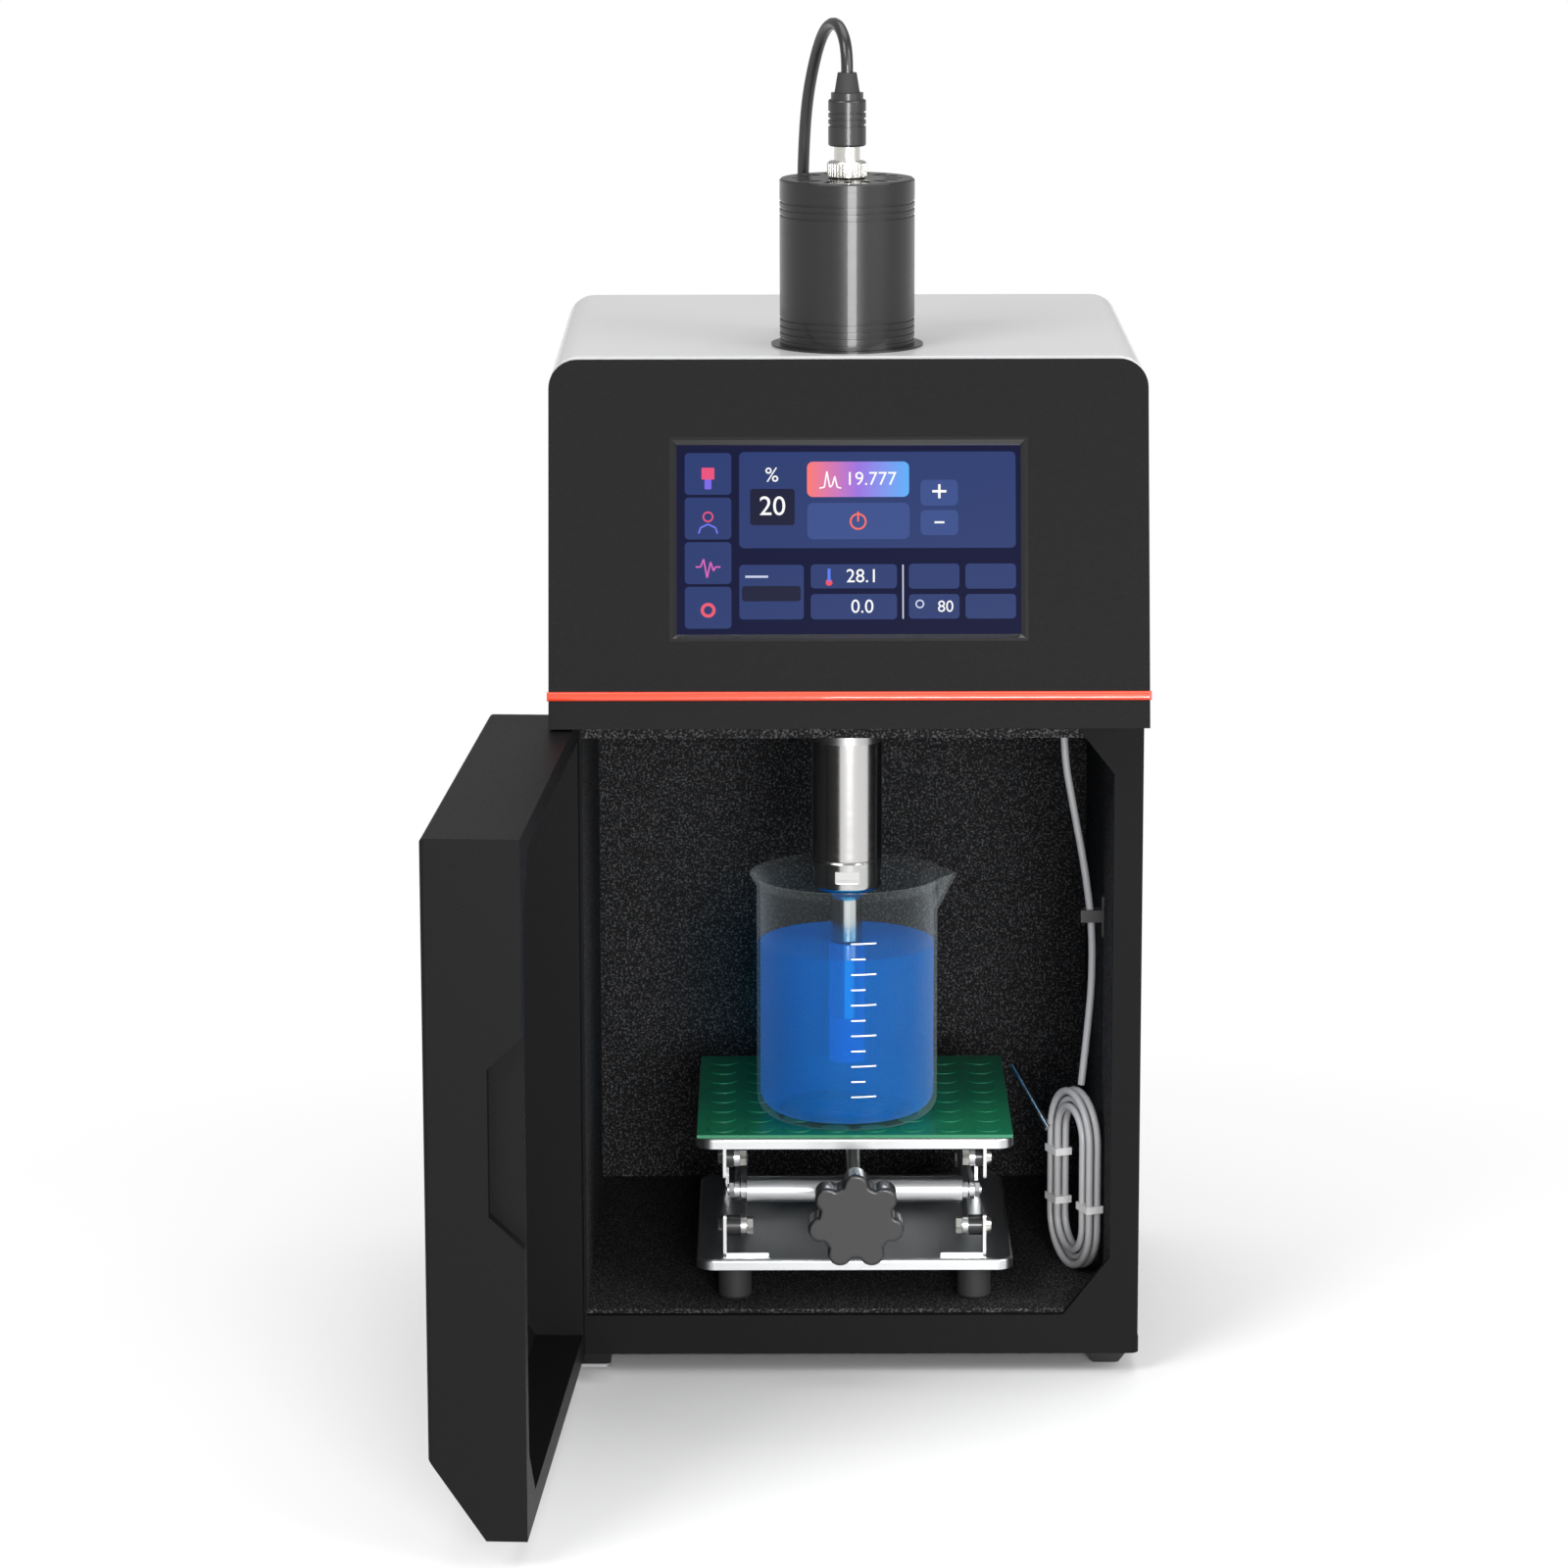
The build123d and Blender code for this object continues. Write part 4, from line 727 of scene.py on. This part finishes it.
@dataclass
class Coil:
    """The spare lead: flat oval turns side by side, held by three ties."""

    centre: tuple[float, float, float] = (110.0, 20.0, 76.3)
    turn: float = 68.0
    half_height: float = 43.0
    half_width: float = 22.0
    radius: float = 1.8
    lays: tuple = ((0, -2.1), (0, 2.1), (3.9, 0), (7.6, -2.1), (7.6, 2.1))
    bend_steps: int = 14
    sides: int = 10
    ties: tuple = ((-18, 8), (18, -12), (-17.8, -16))
    tie_half_wide: float = 6.2
    tie_half_deep: float = 4.3
    tie_tall: float = 3.5

    def _point(self, across: float, up: float, out: float) -> Vector:
        """Place a point by its distances from the coil's middle.

        Args:
            across: Along the oval's width, in millimetres.
            up: Along its height.
            out: Along its axis.

        Returns:
            The point in the row frame, in millimetres.
        """
        side = Vector((cos(radians(self.turn)), -sin(radians(self.turn)), 0))
        outward = side.cross(Vector((0, 0, 1)))
        return Vector(self.centre) + across * side + Vector((0, 0, up)) + out * outward

    def _loop(self, inset: float, out: float) -> list[Vector]:
        """Follow one turn of the coil.

        Args:
            inset: How far it lies inside the outermost turn, in millimetres.
            out: Its place along the coil's axis.

        Returns:
            The points round its oval.
        """
        bend = self.half_width - inset
        shift = self.half_height - self.half_width
        angles = [180 * i / self.bend_steps for i in range(self.bend_steps + 1)]
        turns = [(radians(angle), shift) for angle in angles]
        turns += [(radians(180 + angle), -shift) for angle in angles]
        return [self._point(bend * cos(a), up + bend * sin(a), out) for a, up in turns]

    def build(self, materials: Materials) -> bpy.types.Object:
        """Make the turns as one mesh, and its ties.

        Args:
            materials: Where its finish comes from.

        Returns:
            The turns.
        """
        points, faces = [], []
        out_way = self._point(0, 0, 1) - self._point(0, 0, 0)
        for inset, out in self.lays:
            line = self._loop(inset, out)
            first = len(points)
            for i, here in enumerate(line):
                ahead = (line[(i + 1) % len(line)] - line[i - 1]).normalized()
                wide = ahead.cross(out_way)
                for k in range(self.sides):
                    a = 2 * pi * k / self.sides
                    points.append(here + self.radius * (cos(a) * wide + sin(a) * out_way))
            for i in range(len(line)):
                near = first + i * self.sides
                far = first + (i + 1) % len(line) * self.sides
                for k in range(self.sides):
                    after = (k + 1) % self.sides
                    faces.append((near + k, near + after, far + after, far + k))
        made = plain_mesh("lead_coil", points, faces, materials.get("lead_grey"), smooth=True)
        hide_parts("temp_cable_coil")
        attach(made, "cabinet")
        self._ties(materials)
        log.info("coil")
        return made

    def _ties(self, materials: Materials) -> None:
        """Make the ties as plain bands round both runs of the coil.

        Args:
            materials: Where their finish comes from.
        """
        wide, deep = self.tie_half_wide, self.tie_half_deep
        for i, (across, up) in enumerate(self.ties):
            corners = [self._point(across + dx, up + dz, dy)
                       for dx in (-wide, wide) for dy in (-deep, deep) for dz in (0, self.tie_tall)]
            faces = [(0, 1, 3, 2), (4, 6, 7, 5), (0, 4, 5, 1), (2, 3, 7, 6), (0, 2, 6, 4), (1, 5, 7, 3)]
            tie = plain_mesh(f"coil_tie_{i}", corners, faces, materials.get("tie_white"))
            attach(tie, "cabinet")
            log.info("tie %s", tie.name)


@dataclass
class BeakerScale:
    """Plain printed scale on the beaker's front: short and long strokes, without words."""

    radius: float = 43.05
    bottom: float = 133.0
    pitch: float = 7.4
    strokes: int = 11
    start: float = -88
    long_turn: float = 16
    short_turn: float = 9
    thick: float = 0.7
    steps: int = 6

    def build(self, materials: Materials) -> None:
        """Make the strokes as one mesh that rides the platform.

        Args:
            materials: Where their finish comes from.
        """
        points, faces = [], []
        for i in range(self.strokes):
            turn = self.long_turn if i % 2 == 0 else self.short_turn
            low = self.bottom + i * self.pitch
            for k in range(self.steps + 1):
                a = radians(self.start + turn * k / self.steps)
                for z in (low, low + self.thick):
                    points.append(Vector((self.radius * cos(a), self.radius * sin(a), z)))
            first = i * 2 * (self.steps + 1)
            for k in range(self.steps):
                corner = first + 2 * k
                faces.append((corner, corner + 2, corner + 3, corner + 1))
        made = plain_mesh("beaker_scale", points, faces, materials.get("print_white"))
        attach(made, "platform")
        log.info("beaker scale")


@dataclass
class Studio:
    """Camera near the photo's, soft lights, pale floor and a white backdrop.

    The camera's pitch is steeper than the one fitted to the photo, in place of a vertical shift. Its
    spot, the lamps and the fade are in metres, and the floor's sizes are in millimetres.
    """

    lens: float = 128.7
    sensor: float = 36
    spot: tuple = (-0.0298, -2.5968, 0.8129)
    pitch: float = 11.7
    roll: float = -0.12
    aim: tuple = (0, 0, 0.3)
    floor_reach: float = 9000
    floor_drop: float = 0.4
    fade: tuple = (0.15, 0.6)
    soft_light: float = 0.45
    lamps: tuple = (
        ("key", (-1.3, -1.6, 1.9), 1.2, 38),
        ("fill", (1.7, -1.3, 1.2), 1.4, 28),
        ("top", (0.1, 0.2, 2.2), 1.6, 18),
        ("front", (0.3, -2.2, 0.5), 0.6, 34),
    )

    def _floor(self) -> bpy.types.Material:
        """Make the pale finish that takes the contact shadow and turns plain white further out.

        Returns:
            The material.
        """
        material = bpy.data.materials.new("floor")
        material.use_nodes = True
        graph = Graph(material.node_tree)
        place = graph.node("ShaderNodeTexCoord", output="Object")
        far = graph.node("ShaderNodeVectorMath", {0: place}, "Value", operation="LENGTH")
        start, end = self.fade
        faded = graph.node("ShaderNodeMapRange", {"Value": far, "From Min": start, "From Max": end})
        near = graph.node("ShaderNodeBsdfPrincipled", {"Base Color": (0.92, 0.92, 0.92, 1),
                                                       "Roughness": 0.6})
        white = graph.node("ShaderNodeEmission", {"Color": (1, 1, 1, 1), "Strength": 1.0})
        mixed = graph.node("ShaderNodeMixShader", {0: faded, 1: near, 2: white})
        graph.node("ShaderNodeOutputMaterial", {"Surface": mixed})
        return material

    def build(self) -> None:
        """Make the camera, lights, floor and world."""
        scene = bpy.context.scene
        scene.view_settings.view_transform = "Standard"
        data = bpy.data.cameras.new("camera")
        data.lens, data.sensor_width = self.lens, self.sensor
        camera = bpy.data.objects.new("camera", data)
        scene.collection.objects.link(camera)
        tilt = Matrix.Rotation(radians(90 - self.pitch), 4, "X")
        roll = Matrix.Rotation(radians(self.roll), 4, "Z")
        camera.matrix_world = Matrix.Translation(self.spot) @ tilt @ roll
        scene.camera = camera
        for name, spot, size, power in self.lamps:
            lamp = bpy.data.lights.new(name, "AREA")
            lamp.size, lamp.energy = size, power
            light = bpy.data.objects.new(name, lamp)
            light.location = spot
            way = Vector(self.aim) - Vector(spot)
            light.rotation_euler = way.to_track_quat("-Z", "Y").to_euler()
            scene.collection.objects.link(light)
        reach = self.floor_reach
        corners = ((-reach, -reach), (reach, -reach), (reach, reach), (-reach, reach))
        floor_points = [Vector((x, y, -self.floor_drop)) for x, y in corners]
        floor = plain_mesh("floor", floor_points, [(0, 1, 2, 3)], self._floor())
        world = bpy.data.worlds.new("world")
        scene.world = world
        world.use_nodes = True
        graph = Graph(world.node_tree)
        soft = graph.node("ShaderNodeBackground", {"Color": (1, 1, 1, 1),
                                                   "Strength": self.soft_light})
        white = graph.node("ShaderNodeBackground", {"Color": (1, 1, 1, 1), "Strength": 1.0})
        seen = graph.node("ShaderNodeLightPath", output="Is Camera Ray")
        mixed = graph.node("ShaderNodeMixShader", {0: seen, 1: soft, 2: white})
        graph.node("ShaderNodeOutputWorld", {"Surface": mixed})


def paint_nodes(materials: Materials) -> None:
    """Give every CAD node its slot's finish.

    Args:
        materials: Where the finishes come from.
    """
    for part in frame["record"]["subparts"]:
        node = frame["nodes"][part["node"]]
        node.data.materials.clear()
        node.data.materials.append(materials.get(part["material_slot"]))
        log.info("node %s", part["node"])


TRANSDUCER_ROUTE = [
    (0, 0, 610), (0, 0, 620), (-2.5, 8.5, 629.5), (-6.5, 21, 632), (-11, 32.5, 626), (-15, 41, 612),
    (-18.5, 46.5, 592), (-20, 50, 568), (-20.5, 51.8, 541), (-19.5, 51, 516), (-19.5, 51, 493),
]
TEMP_ROUTE = [
    (103.6, 26.6, 306.5), (103.6, 26.6, 285), (108.6, 26.8, 258), (114.2, 26.6, 229),
    (118.0, 26.6, 201), (118.4, 26.8, 174), (116.3, 26.2, 148), (113.5, 25.6, 121.3),
]


def main() -> None:
    """Build every finished piece over the CAD frame."""
    logging.basicConfig(level=logging.INFO)
    materials = Materials()
    paint_nodes(materials)
    Screen().build(materials)
    Coil().build(materials)
    Cord("plug_lead", "transducer_cable", "cable_black", radius=2.8, route=TRANSDUCER_ROUTE,
         length=185.7).build(materials)
    Cord("sensor_lead", "temp_cable", "lead_grey", radius=1.8, route=TEMP_ROUTE,
         length=186.6).build(materials)
    studs = Repeated("mat_studs", Layout.GRID, count=8, span=126, radius=6.6, height=0.6,
                     place=(TABLE_X, 31.5, 115.0))
    ribs = Repeated("nut_ribs", Layout.RING, count=36, span=9.0, radius=0.35, height=6.0,
                    place=(0, 0, 565.4))
    for piece, slot, body in ((studs, "mat_green", "platform"), (ribs, "zinc", "cabinet")):
        made = piece.build(materials.get(slot))
        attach(made, body)
        log.info("repeated %s", made.name)
    BeakerScale().build(materials)
    Studio().build()


if __name__ == "__main__":
    main()
